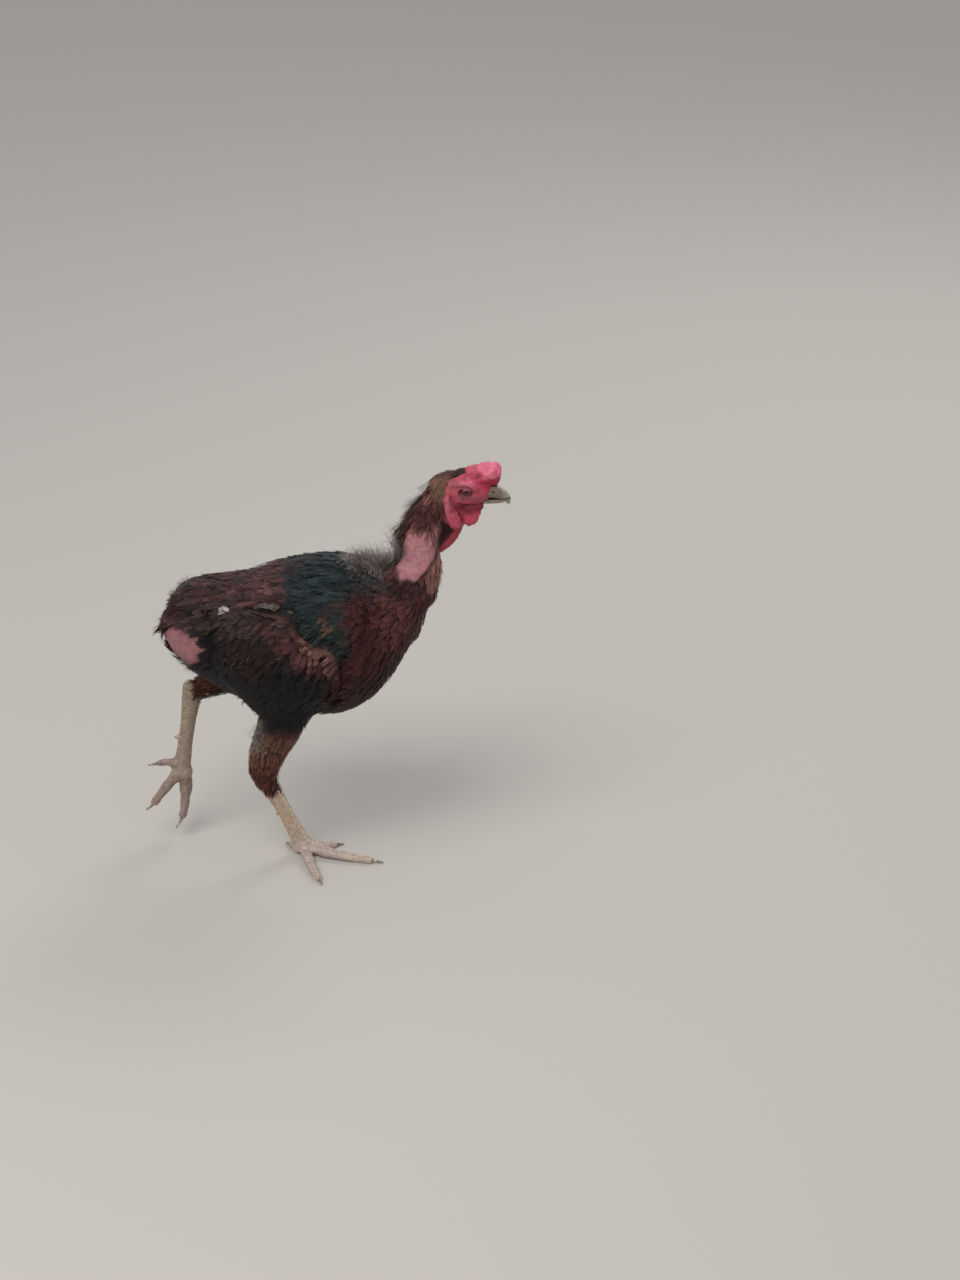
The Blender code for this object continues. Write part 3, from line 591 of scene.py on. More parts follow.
# %% Colour areas
GROUND_BLACK = "#1a1718"
LEG_COLOUR = "#c4ab97"
SHADED_LEG = "#a18e7b"
TOE_COLOUR = "#c8b5a3"
BACK_STRIPE = "#2b2121"
# The raised left foot's toes are darker: painted shade.
SHADED_RAISED_TOES = "#a0887d"
FLUSH = np.array([0.02, 0.07, -0.15])  # how far the legs' red, green and blue swing
FLUSH_SIZE = 0.020
AREAS = [
    # name, soft border, colour and gloss of the feathers, outline on the side
    ("breast", 14, "#442422", 0.2, [(40, 300), (70, 330), (150, 330), (150, 235), (105, 180), (52, 186),
     (42, 215)]),
    ("breast_front", 14, "#5a3330", 0.2, [(90, 310), (150, 320), (150, 250), (118, 240), (92, 270)]),
    ("breast_dark", 12, "#33201f", 0.2, [(60, 225), (96, 240), (118, 262), (140, 262), (120, 205),
     (60, 180)]),
    ("back", 4, "#452d2d", 0.25, [(-150, 330), (-150, 262), (-123, 263), (-101, 276), (-79, 284),
     (-61, 293), (-42, 298), (-12, 298), (10, 303), (10, 360), (-80, 345)]),
    ("rump_dark", 8, "#332020", 0.2, [(-150, 300), (-150, 335), (-85, 335), (-85, 303)]),
    ("wing_rear", 8, "#332020", 0.2, [(-150, 300), (-150, 265), (-110, 270), (-92, 286), (-96, 302)]),
    ("wing_bow", 5, "#5e3d3c", 0.25, [(-60, 314), (-10, 320), (0, 310), (-10, 300), (-50, 300)]),
    ("wing_dark", 5, "#473433", 0.3, [(-86, 300), (-74, 290), (-50, 296), (-56, 306), (-76, 306)]),
    ("back_dark", 6, "#35282b", 0.4, [(-12, 345), (30, 352), (30, 323), (-4, 317)]),
    ("wing_shadow", 2, "#1d1717", 0.3, [(-47, 301), (-12, 300), (6, 298), (13, 288), (5, 287), (-12, 293),
     (-45, 296)]),
    ("shoulder", 6, "#1c2426", 0.9, [(4, 360), (3, 318), (4, 304), (10, 289), (31, 291), (52, 302),
     (66, 308), (80, 318), (82, 350)]),
    ("shoulder_light", 8, "#323131", 0.3, [(60, 350), (56, 314), (72, 306), (96, 300), (106, 314),
     (104, 350)]),
    ("wing_front", 4, "#232c2a", 0.8, [(15, 289), (34, 293), (58, 301), (59, 262), (53, 240), (40, 256),
     (24, 268)]),
    ("ham_top", 4, "#40302d", 0.15, [(-80, 280), (-66, 291), (-40, 298.5), (-12, 294), (4, 289), (-4, 276),
     (-40, 280), (-66, 274)]),
    ("ham_front", 5, "#482a2a", 0.1, [(-12, 290), (3, 289), (12, 275), (34, 264), (46, 244), (42, 236),
     (20, 242), (2, 252)]),
    ("ham_red", 6, "#4d2c2b", 0.1, [(-24, 288), (-10, 290.5), (4, 285), (12, 270), (30, 258), (34, 246),
     (14, 250), (0, 260), (-14, 273)]),
    # Painted highlight: the thigh's top edge, lighter and more orange where the light falls on it.
    ("ham_top_highlight", 3, "#4f3a34", 0.1, [(-24, 295), (-12, 294), (4, 288), (8, 278), (-10, 283)]),
    # Painted highlight: a lighter band along the knee's lit edge.
    ("knee_edge_highlight", 3, "#75504a", 0.1, [(12, 269), (34, 264), (43, 255.5), (47.5, 243), (41, 242), (28, 251),
     (10, 258)]),
    ("ham_mid", 8, "#2a1a19", 0.15, [(-60, 276), (-58, 250), (-30, 236), (-16, 250), (-20, 276)]),
    ("stern", 6, "#5a3b3a", 0.2, [(-150, 275), (-150, 215), (-100, 215), (-88, 250), (-92, 275)]),
    ("hackle", 6, "#905c55", 0.2, [(80, 330), (96, 312), (140, 312), (150, 330), (160, 370), (150, 400),
     (158, 430), (80, 430)]),
    ("crown", 3, "#523a31", 0.1, [(116, 398), (134, 411), (150, 416.5), (160, 416), (178, 424), (178, 440),
     (116, 440)]),
    ("olive", 4, "#83604f", 0.2, [(128, 405), (140, 414), (148.5, 413), (147, 392), (138, 392)]),
    ("hackle_dark", 5, "#5e3532", 0.2, [(108, 372), (122, 366), (142, 372), (146, 392), (130, 392),
     (116, 384)]),
    ("hackle_low", 4, "#8e5855", 0.2, [(96, 378), (112, 382), (120, 364), (104, 352)]),
    ("throat_brown", 4, "#ae7a72", 0.2, [(133, 372), (146, 372), (152, 345), (146, 300), (128, 302),
     (134, 330)]),
    ("throat_dark", 3, "#4a2724", 0.2, [(142, 374), (156, 370), (152, 350), (140, 342)]),
    ("neck_base", 5, "#452c29", 0.2, [(98, 312), (112, 312), (126, 318), (128, 302), (100, 296)]),
    ("drumstick", 12, "#6e4a3e", 0.2, [(-70, 168), (20, 162), (0, 80), (-60, 80)]),
    ("drumstick_olive", 7, "#7a6a5a", 0.2, [(-62, 174), (-36, 174), (-34, 140), (-62, 130)]),
    ("drumstick_low", 8, "#5e3529", 0.2, [(-60, 116), (-10, 112), (-12, 80), (-60, 80)]),
    ("drumstick_grey", 6, "#6a625c", 0.2, [(-62, 180), (-30, 180), (-36, 150), (-58, 140)]),
    ("hock_left", 6, "#603a2e", 0.2, [(-125, 200), (-76, 206), (-70, 174), (-120, 150)]),
]
WOBBLE = 0.006
WOBBLE_SIZE = 0.022
FULL_WOBBLE = 10  # the soft border, in millimetres, that takes all of the wobble
BACK_WOBBLE = 3.0


def markings(points):
    """The feathers' colour and gloss at each point of the body."""
    wobble = field(points, WOBBLE_SIZE) * WOBBLE
    on_back = smooth(0.305, 0.325, points[:, 2]) * smooth(0.090, 0.060, points[:, 0])
    wobble *= 1 + BACK_WOBBLE * on_back
    colours = np.tile(linear(GROUND_BLACK), (len(points), 1))
    gloss = np.full(len(points), 0.45)
    for _, border, colour, shine, outline in AREAS:
        share = inside(points, outline, border, wobble * min(border / FULL_WOBBLE, 1))
        blend(colours, colour, share)
        gloss += (shine - gloss) * share
    blend(colours, BACK_STRIPE, smooth(0.026, 0.004, np.abs(points[:, 1]) + wobble) * on_back * 0.75)
    # Painted shade: the left leg, behind the body, is painted darker than the right.
    left = (points[:, 1] > 0.012)[:, None]
    legs = np.where(left, linear(SHADED_LEG), linear(LEG_COLOUR))
    blend(legs, TOE_COLOUR, smooth(0.032, 0.014, points[:, 2]))
    blend(legs, SHADED_RAISED_TOES, spread(part_mask("toe"), edges, 4) * left)
    legs *= 1 + field(points, FLUSH_SIZE)[:, None] * FLUSH
    return colours + (legs - colours) * spread(feet_bare, edges, 3), gloss


feather_colours, feather_gloss = markings(points)


# %% [markdown]
# ### Colours of the skin itself
# Bare skin is crimson on the face, with painted highlights on the comb's front lumps, the brow and the ear
# lobe's ridge, and painted shade under the comb's front, before the ear lobe and in the throat's folds under
# the bill; it is pink on the neck and vent, and a dry yellowish flesh colour on the legs. Under the feathers
# it takes the feathers' own colour, darkened as painted shade under the coat.

# %% Colours of the skin
# Painted shade: skin under the coat is the feathers' colour darkened, less so under the short feathers of the
# head.
PAINTED_COAT_SHADE = 0.40
PAINTED_HEAD_COAT_SHADE = 0.85
NECK_PINK = "#b47a7e"
VENT_PINK = "#9c676a"
CRIMSON = "#b64a5b"
LID_COLOUR = "#7c3a42"
SKIN_AREAS = [
    # name, soft border, colour, outline on the side
    ("comb_back", 3, "#b9505f", [(164, 424), (176, 420), (178, 436), (164, 436)]),
    # Painted highlights on the comb's upper front and its front lumps.
    ("comb_front_highlight", 3, "#dd6c82", [(176, 424), (184, 414), (200, 413), (205, 432), (176, 436)]),
    ("comb_shine", 3, "#e2758c", [(184, 421), (195, 423), (195, 414), (184, 415)]),
    # Painted highlight along the brow's ridge.
    ("brow_ridge_highlight", 2, "#cb647b", [(158, 413), (178, 412), (182, 405), (160, 408.5)]),
    # Painted shade in the crease under the comb's overhanging front.
    ("comb_crease_shade", 3, "#a82c45", [(174, 411), (204, 414), (204, 402), (186, 400)]),
    ("temple", 3, "#974c50", [(146, 412), (156, 416.5), (161, 410), (152, 402)]),
    ("eye_ring", 3, "#a15560", [(158, 409), (176, 406), (175, 396), (160, 395)]),
    ("face_front", 3, "#ad4454", [(174, 404), (188, 401), (188, 390), (176, 392)]),
    ("cheek", 3, "#a95362", [(158, 397), (176, 396), (184, 394), (182, 391), (158, 391)]),
    # Painted shade in the throat's folds under the bill.
    ("throat", 3, "#761f2e", [(154, 388.5), (189, 388.5), (186, 374), (176, 368), (158, 376)]),
    ("wattle", 3, "#b94459", [(164, 376), (180, 380), (184, 366), (164, 356)]),
    ("lobe", 3, "#b04a5b", [(148, 398), (156, 392), (164, 378), (163, 360), (152, 366)]),
    # Painted shade in the groove before the ear lobe.
    ("lobe_groove_shade", 2, "#82303b", [(150, 398), (154, 396), (158, 384), (153, 382)]),
    # Painted highlight on the ear lobe's ridge.
    ("lobe_ridge_highlight", 2, "#b36269", [(146.5, 400), (149.5, 400), (150.5, 380), (147.5, 378)]),
    ("dewlap", 3, "#9c3646", [(150, 366), (166, 362), (152, 336), (138, 330)]),
]


def skin_colours():
    """The skin's own colour at each vertex."""
    short_feathers = spread(part_mask("head", "comb"), edges, 4)
    colours = feather_colours * (PAINTED_COAT_SHADE + (PAINTED_HEAD_COAT_SHADE - PAINTED_COAT_SHADE) * short_feathers)
    blend(colours, NECK_PINK, neck_bare)
    blend(colours, VENT_PINK, vent_bare)
    colours += (feather_colours - colours) * spread(feet_bare, edges, 3)
    crimson = np.tile(linear(CRIMSON), (len(points), 1))
    for _, border, colour, outline in SKIN_AREAS:
        blend(crimson, colour, inside(points, outline, border))
    blend(crimson, LID_COLOUR, lid_zone * 0.6)
    return colours + (crimson - colours) * face_bare[:, None]


def store(mesh, name, values, kind="FLOAT"):
    """Keeps one value, vector or colour for each vertex on the mesh."""
    made = mesh.attributes.get(name) or mesh.attributes.new(name, kind, "POINT")
    values = np.asarray(values, dtype=float)
    if kind == "FLOAT_COLOR":
        values = np.concatenate([values, np.ones((len(values), 1))], axis=1)
    slot_name = {"FLOAT": "value", "FLOAT_VECTOR": "vector", "FLOAT_COLOR": "color"}[kind]
    made.data.foreach_set(slot_name, values.ravel())


store(skin_mesh, "skin_tint", skin_colours(), "FLOAT_COLOR")
store(skin_mesh, "wrinkle", np.clip(face_bare + neck_bare + vent_bare, 0, 1))


# %% Living skin
def carried(tree, *names):
    """The values that the piece carries, read by name: a colour for each tint, and a number for the rest."""
    for name in names:
        node = add(tree, "ShaderNodeAttribute", attribute_name=name)
        yield node.outputs["Color" if name in ("skin_tint", "horn_tint", "feather") else "Fac"]


def shaded(tree, colour, shares):
    """The colour made darker or lighter by each share in turn."""
    for share in shares:
        colour = add(tree, "ShaderNodeVectorMath", {0: colour, "Scale": share.outputs[0]}, operation="SCALE")
    return colour


def living_skin():
    """Thin bare skin over flesh: slightly oily, finely wrinkled, and lit from within by its blood."""
    made, tree, shader = principled("living_skin", Subsurface_Weight=0.12, Subsurface_Scale=0.004, IOR=1.42,
                                    Specular_IOR_Level=0.4)
    tint, wrinkle = carried(tree, "skin_tint", "wrinkle")
    place_at = add(tree, "ShaderNodeTexCoord").outputs["Object"]
    blotch = add(tree, "ShaderNodeTexNoise", {"Vector": place_at, "Scale": 210.0, "Detail": 3.0})
    span = add(tree, "ShaderNodeMapRange", {"Value": blotch, "From Min": 0.3, "From Max": 0.7,
                                            "To Min": 0.78, "To Max": 1.18})
    # Pores about 0.8 mm apart, and creases of about 2 mm.
    pores = add(tree, "ShaderNodeTexVoronoi", {"Vector": place_at, "Scale": 1250.0})
    creases = add(tree, "ShaderNodeTexNoise", {"Vector": place_at, "Scale": 480.0, "Detail": 4.0})
    height = add(tree, "ShaderNodeMath", {0: pores, 1: creases}, operation="ADD")
    deep = add(tree, "ShaderNodeMath", {0: height, 1: wrinkle}, operation="MULTIPLY")
    bump = add(tree, "ShaderNodeBump", {"Height": deep, "Strength": 0.5, "Distance": 0.0004})
    rough = add(tree, "ShaderNodeMapRange", {"Value": creases, "To Min": 0.34, "To Max": 0.62})
    # Skin under feathers is dull.
    dull = add(tree, "ShaderNodeMapRange", {"Value": wrinkle, "To Min": 0.4, "To Max": 0.0})
    rough = add(tree, "ShaderNodeMath", {0: rough, 1: dull}, operation="ADD")
    feed(tree, shader, {"Base Color": shaded(tree, tint, [span]), "Normal": bump, "Roughness": rough})
    return made


def finish_piece(obj, material, slot, *nodes):
    """Gives the piece its material, sets it smooth, parents it to the body's empty, and hides the solids it
    replaces.
    """
    if material is not None:
        obj.data.materials.clear()
        obj.data.materials.append(material)
    obj.data.shade_smooth()
    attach(obj, BODY)
    if nodes:
        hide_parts(*nodes)
    return obj


skin = finish_piece(place("skin", skin_mesh), living_skin(), "red_skin", *FLESH)
print("skin ready:", len(skin_mesh.vertices), "vertices")

# %% [markdown]
# ## Horn
# Bill, claws and spurs are keratin over bone: hard, smooth, a little waxy, with growth lines along them.
# Each is melted from its solid at half a millimetre, so that it stays crisp, and the nostril is pressed
# into the bill.

# %% Bill
HORN_VOXEL = 0.55 * MM
BILL_SWELL = 0.35 * MM  # closes the gap between the two halves of the bill to a line
NOSTRIL = Vector((0.1925, 0.0058, 0.3985))
GRAIN = 0.0028


def horn_shape(names, rounds=6, swell=0.0):
    """The solids of these names as one fine, smooth mesh."""
    mesh = melted(names, swell, HORN_VOXEL)
    set_points(mesh, taubin(points_of(mesh), edges_of(mesh), rounds))
    return mesh


def press_nostrils(mesh):
    """A slit-like dent on each side of the upper bill, with a raised flap over it."""
    at = points_of(mesh)
    ahead = (at[:, 0] - NOSTRIL.x) * 0.8 + (at[:, 2] - NOSTRIL.z) * -0.6
    up = (at[:, 2] - NOSTRIL.z) * 0.8 + (at[:, 0] - NOSTRIL.x) * 0.6
    near = np.abs(at[:, 1]) > 0.0025
    dent = np.exp(-((ahead / 0.0019) ** 2) - (up / 0.0008) ** 2) * near
    flap = np.exp(-((ahead / 0.0024) ** 2) - ((up - 0.0017) / 0.0009) ** 2) * near
    set_points(mesh, at + normals_of(mesh) * ((0.45 * flap - 1.15 * dent) * MM)[:, None])
    return dent


def tinted(mesh, base, patches):
    """Stores horn colours: a base, and patches given as share of each vertex and colour."""
    colours = np.tile(linear(base), (len(mesh.vertices), 1))
    for share, colour in patches:
        blend(colours, colour, share)
    store(mesh, "horn_tint", colours, "FLOAT_COLOR")


def keratin():
    """Horn grown in layers: waxy, faintly see-through at the edges, with fine lines along its growth."""
    made, tree, shader = principled("keratin_horn", IOR=1.54, Subsurface_Weight=0.06, Subsurface_Scale=0.002)
    (tint,) = carried(tree, "horn_tint")
    place_at = add(tree, "ShaderNodeTexCoord").outputs["Object"]
    # Growth lines 0.7 mm apart, drawn out along the bill and claws.
    drawn = add(tree, "ShaderNodeVectorMath", {0: place_at, 1: (500.0, 1400.0, 1400.0)}, operation="MULTIPLY")
    lines = add(tree, "ShaderNodeTexNoise", {"Vector": drawn, "Scale": 1.0, "Detail": 3.0})
    stain = add(tree, "ShaderNodeTexNoise", {"Vector": place_at, "Scale": 320.0, "Detail": 2.0})
    both = add(tree, "ShaderNodeMath", {0: lines, 1: stain}, operation="ADD")
    span = add(tree, "ShaderNodeMapRange", {"Value": both, "From Min": 0.7, "From Max": 1.3, "To Min": 0.72,
                                            "To Max": 1.15})
    bump = add(tree, "ShaderNodeBump", {"Height": lines, "Strength": 0.35, "Distance": 0.0002})
    rough = add(tree, "ShaderNodeMapRange", {"Value": stain, "To Min": 0.28, "To Max": 0.55})
    feed(tree, shader, {"Base Color": shaded(tree, tint, [span]), "Normal": bump, "Roughness": rough})
    return made


horn = keratin()
for node in ("bill_upper", "bill_lower"):
    shape = horn_shape([node], swell=BILL_SWELL)
    dent = press_nostrils(shape) if node == "bill_upper" else np.zeros(len(shape.vertices))
    at = points_of(shape)
    ridge = smooth(0.0040, 0.0012, np.abs(at[:, 1]))
    ridge *= smooth(0.390, 0.397, at[:, 2] + (at[:, 0] - 0.19) * 0.9)
    tip = smooth(0.199, 0.206, at[:, 0])
    # Painted shade: a dark line where the two halves of the bill meet, and dark in the nostril's dent.
    mouth_line_shade = np.exp(-(((at[:, 2] - 0.3905) / 0.0012) ** 2))
    tinted(shape, "#7b675c" if node == "bill_upper" else "#8d7c6b", [
        (ridge, "#aaa497"), (tip * 0.8, "#a29a88"), (mouth_line_shade * 0.8, "#33241f"), (dent, "#2c1a18"),
    ])
    finish_piece(place(f"horn_{node}", shape), horn, "horn", node)
    print(node, "triangles:", 2 * len(shape.polygons))

# %% Claws and spurs
for side in SIDES:
    claws = [f"claw_{number}_{side}" for number in (1, 2, 3, 4)]
    for title, names, base, end in (("claws", claws, "#8a7a6c", "#c9bba6"),
                                    ("horn_spur", [f"spur_{side}"], "#a08f7c", "#b9a88f")):
        shape = horn_shape(names, 4)
        at = points_of(shape)
        tinted(shape, base, [(smooth(-0.1, 0.5, field(at, GRAIN)), end)])
        finish_piece(place(f"{title}_{side}", shape), horn, "horn", *names)

# %% [markdown]
# ## Eyes
# A fowl's eye is a flattened ball with a clear, steeper dome in front. The ball is a sphere whose pole
# looks outwards, so its rings are finest at the pupil, and each vertex stores how far it lies from that
# pole. The iris is pearl, with fine streaks, a dark pupil and a dark rim under the lid.

# %% Eyeballs
EYE_TURN = {"right": Vector((0.05, -1, 0.22)), "left": Vector((0.05, 1, 0.22))}
# How far the pupil, the iris and the last ring of colour reach from the pole, in millimetres.
PUPIL = 1.75
IRIS = 3.0
OUTER_RING = 4.0


def eyeball(side):
    """A ball round the eye's centre with a cornea, and its distance from the pole in millimetres."""
    ball = bmesh.new()
    bmesh.ops.create_uvsphere(ball, u_segments=48, v_segments=40, radius=EYE_RADIUS)
    turn = EYE_TURN[side].to_track_quat("Z", "Y").to_matrix()
    away = []
    for vertex in ball.verts:
        flat = math.hypot(vertex.co.x, vertex.co.y)
        front = vertex.co.z > 0
        away.append(flat / MM if front else 9.0)
        if front:
            vertex.co.z += 0.45 * MM * math.exp(-((flat / (1.9 * MM)) ** 2))
        vertex.co = turn @ vertex.co + EYE[side]
    mesh = bpy.data.meshes.new(f"eyeball_{side}")
    ball.to_mesh(mesh)
    ball.free()
    store(mesh, "from_pupil", away)
    return mesh


def wet_eye():
    """An iris behind a clear wet cornea: the coat gives the sharp highlight, the iris below is matt."""
    made, tree, shader = principled("wet_eye", Roughness=0.5, Specular_IOR_Level=0.2, Coat_Weight=0.15,
                                    Coat_Roughness=0.03, Coat_IOR=1.38)
    (away,) = carried(tree, "from_pupil")
    place_at = add(tree, "ShaderNodeTexCoord").outputs["Object"]
    # Iris streaks about 0.25 mm wide.
    streak = add(tree, "ShaderNodeTexNoise", {"Vector": place_at, "Scale": 3200.0, "Detail": 2.0})
    moved = add(tree, "ShaderNodeMapRange", {"Value": streak, "To Min": -0.22, "To Max": 0.22})
    ring = add(tree, "ShaderNodeMath", {0: away, 1: moved}, operation="ADD")
    share = add(tree, "ShaderNodeMath", {0: ring, 1: OUTER_RING}, operation="DIVIDE")
    ramp = add(tree, "ShaderNodeValToRGB", {"Fac": share})
    stops = [
        (PUPIL / OUTER_RING - 0.02, "#0b0706"), (PUPIL / OUTER_RING + 0.02, "#3c241f"), (0.55, "#84483f"),
        (0.66, "#6f3c36"), (IRIS / OUTER_RING, "#2e1b19"), (0.95, "#4a2628"),
    ]
    for number, (position, colour) in enumerate(stops):
        stop = ramp.color_ramp.elements[number] if number < 2 else ramp.color_ramp.elements.new(position)
        stop.position = position
        stop.color = (*linear(colour), 1)
    feed(tree, shader, {"Base Color": ramp})
    return made


eye_finish = wet_eye()
for side in SIDES:
    finish_piece(place(f"eyeball_{side}", eyeball(side)), eye_finish, "eye", f"eye_{side}")
print("eye radius:", round(EYE_RADIUS / MM, 1), "mm")

# %% [markdown]
# ## The shapes of feathers
# A vane is a shaft with barbs that lean towards the tip and cling in clumps. Each template is one long
# and one wide, with its root at the origin: it is made of a few leaning clumps a side, with gaps where a
# worn edge splits. All the feathers of the coat are copies of these, so each has only a few dozen faces.


# %% Feather templates
def vane(name, clumps, lean, gap, worn, point=0.5, root=0.3, seed=1):
    """A feather lying along Y. Point is how sharp its tip is, and worn is how far loose clumps end short."""
    chance = np.random.default_rng(seed)
    vertices, faces = [], []
    for side in (-1, 1):
        for number in range(clumps):
            loose = chance.random() < 0.35
            reach = 1 - worn * chance.random() * (1.0 if loose else 0.10)
            split = gap * (0.8 if loose else 0.08) / clumps
            for step in (0.0, 0.55, 1.0):
                for end in (0, 1):
                    t = (number + end) / clumps
                    foot = t * (1 - lean)
                    tip = min(max(t + split * step * (0.5 - end), 0), 1)
                    wide = (root + (1 - root) * math.sin(math.pi / 2 * min(tip / 0.55, 1))) / 2
                    wide *= math.sqrt(1 - tip ** (8 - 6 * point))
                    vertices.append((side * wide * step * reach,
                                     foot + (tip - foot) * (step * reach) ** 1.3, 0.0))
            base = len(vertices) - 6
            for row in (0, 2):
                face = [base + row, base + row + 2, base + row + 3, base + row + 1]
                faces.append(face if side > 0 else face[::-1])
    return template(name, vertices, faces)


def strip(base):
    """Three faces along a strand of four pairs of points."""
    return [[base + k, base + k + 1, base + k + 3, base + k + 2] for k in (0, 2, 4)]


def plume(name, barbs, seed, opening=0.95, thin=0.012):
    """A downy feather: a short shaft with long, separate barbs that spread, curl and stand off each other."""
    chance = np.random.default_rng(seed)
    vertices, faces = [], []
    for number in range(barbs):
        side = 1 if number % 2 else -1
        start = 0.62 * number / barbs
        reach = (0.70 - 0.45 * start) * (0.8 + 0.4 * chance.random())
        angle = opening * (1 - 0.7 * start) + chance.normal() * 0.22
        curl, lift = chance.normal() * 0.45, chance.normal() * 0.45
        base = len(vertices)
        for t in (0.0, 0.4, 0.75, 1.0):
            turn = angle * (1 - 0.3 * t) + curl * t
            half = thin * (1 - 0.7 * t)
            x, y = side * math.sin(turn) * reach * t, start + math.cos(turn) * reach * t
            vertices += [(x, y - half, lift * reach * t**1.4), (x + half, y + half, lift * reach * t**1.4)]
        faces += strip(base)
    return template(name, vertices, faces)


def down_tuft(name, strands, spread_angle, seed):
    """A tuft of fine, loose down: thin strands that fan out from the root and rise."""
    chance = np.random.default_rng(seed)
    vertices, faces = [], []
    for number in range(strands):
        angle = spread_angle * ((number + 0.5) / strands - 0.5) + chance.normal() * 0.12
        reach = 0.65 + 0.35 * chance.random()
        bend = chance.normal() * 0.35
        rise = 0.12 + 0.30 * chance.random()
        base = len(vertices)
        for t in (0.0, 0.35, 0.7, 1.0):
            turn = angle + bend * t
            thin = 0.030 * (1 - 0.7 * t)
            x, y, z = math.sin(turn) * reach * t, math.cos(turn) * reach * t, rise * t**1.5
            vertices += [(x - thin, y, z), (x + thin, y + 0.004, z)]
        faces += strip(base)
    return template(name, vertices, faces)


def template(name, vertices, faces):
    """A feather mesh that stores, for each vertex, how far along and across the feather it is."""
    mesh = bpy.data.meshes.new(name)
    mesh.from_pydata(vertices, [], faces)
    at = np.array(vertices)
    store(mesh, "along", np.clip(at[:, 1], 0, 1))
    store(mesh, "across", at[:, 0] * 2)
    return bpy.data.objects.new(name, mesh)


def sheaf(name, *templates):
    """A collection of templates that a feather tree picks from."""
    group = bpy.data.collections.new(name)
    for part in templates:
        group.objects.link(part)
    return group


CONTOUR = sheaf(
    "contour_shapes", vane("contour_a", 8, 0.40, 0.6, 0.35, seed=2),
    vane("contour_b", 8, 0.44, 0.8, 0.50, seed=3), vane("contour_c", 8, 0.38, 0.5, 0.45, seed=9),
)
RAGGED = sheaf(
    "ragged_shapes", vane("ragged_a", 8, 0.50, 1.6, 0.7, point=0.7, seed=4),
    vane("ragged_b", 8, 0.55, 1.4, 0.9, point=0.7, seed=5), plume("ragged_c", 11, 15),
)
HACKLE = sheaf(
    "hackle_shapes", vane("hackle_a", 7, 0.50, 1.0, 0.5, point=0.9, seed=6),
    vane("hackle_b", 7, 0.55, 1.3, 0.7, point=0.9, seed=7),
)
FLIGHT = sheaf(
    "flight_shapes", vane("flight_a", 15, 0.22, 0.8, 0.25, point=0.3, root=0.5, seed=8),
    vane("flight_b", 15, 0.24, 1.0, 0.45, point=0.4, root=0.5, seed=10),
)
WISP = sheaf(
    "wisp_shapes", down_tuft("wisp_a", 7, 0.7, 16), vane("wisp_b", 6, 0.6, 1.5, 0.8, point=0.9, seed=17),
    vane("wisp_c", 6, 0.6, 1.6, 0.8, point=0.9, seed=18),
)
FLUFF = sheaf("fluff_shapes", *(plume(f"fluff_{letter}", barbs, seed, opening, 0.010) for letter, barbs, seed,
                                opening in (("a", 21, 51, 0.60), ("b", 19, 52, 0.75), ("c", 20, 53, 0.50))))
DOWN = sheaf("down_shapes", plume("down_a", 15, 11), plume("down_b", 13, 12), plume("down_c", 14, 13))

# %% [markdown]
# ## The feather tree
# One Geometry Nodes tree dresses every part. It scatters roots over the skin, an even distance apart, or
# takes roots that are given one by one. It lays a feather on each along the lie, realizes them, and then
# draws every vertex down to the skin, to a height that grows from root to tip. So the feathers follow the
# body's curve and overlap like shingles, however long they are.


# %% Build the tree
CARRIED = {
    "cover": "FLOAT", "up": "FLOAT_VECTOR", "lie": "FLOAT_VECTOR", "width": "FLOAT", "length": "FLOAT",
    "thick": "FLOAT", "hug": "FLOAT", "along": "FLOAT", "across": "FLOAT", "OFBake": "FLOAT_VECTOR",
    "root_uv": "FLOAT_VECTOR",
}
CHANCES = {
    "yaw": (-1.0, 1.0), "pitch": (0.5, 1.5), "wide": (0.8, 1.2), "long": (0.75, 1.2), "shade": (0.0, 1.0),
}
PATCH = 0.003


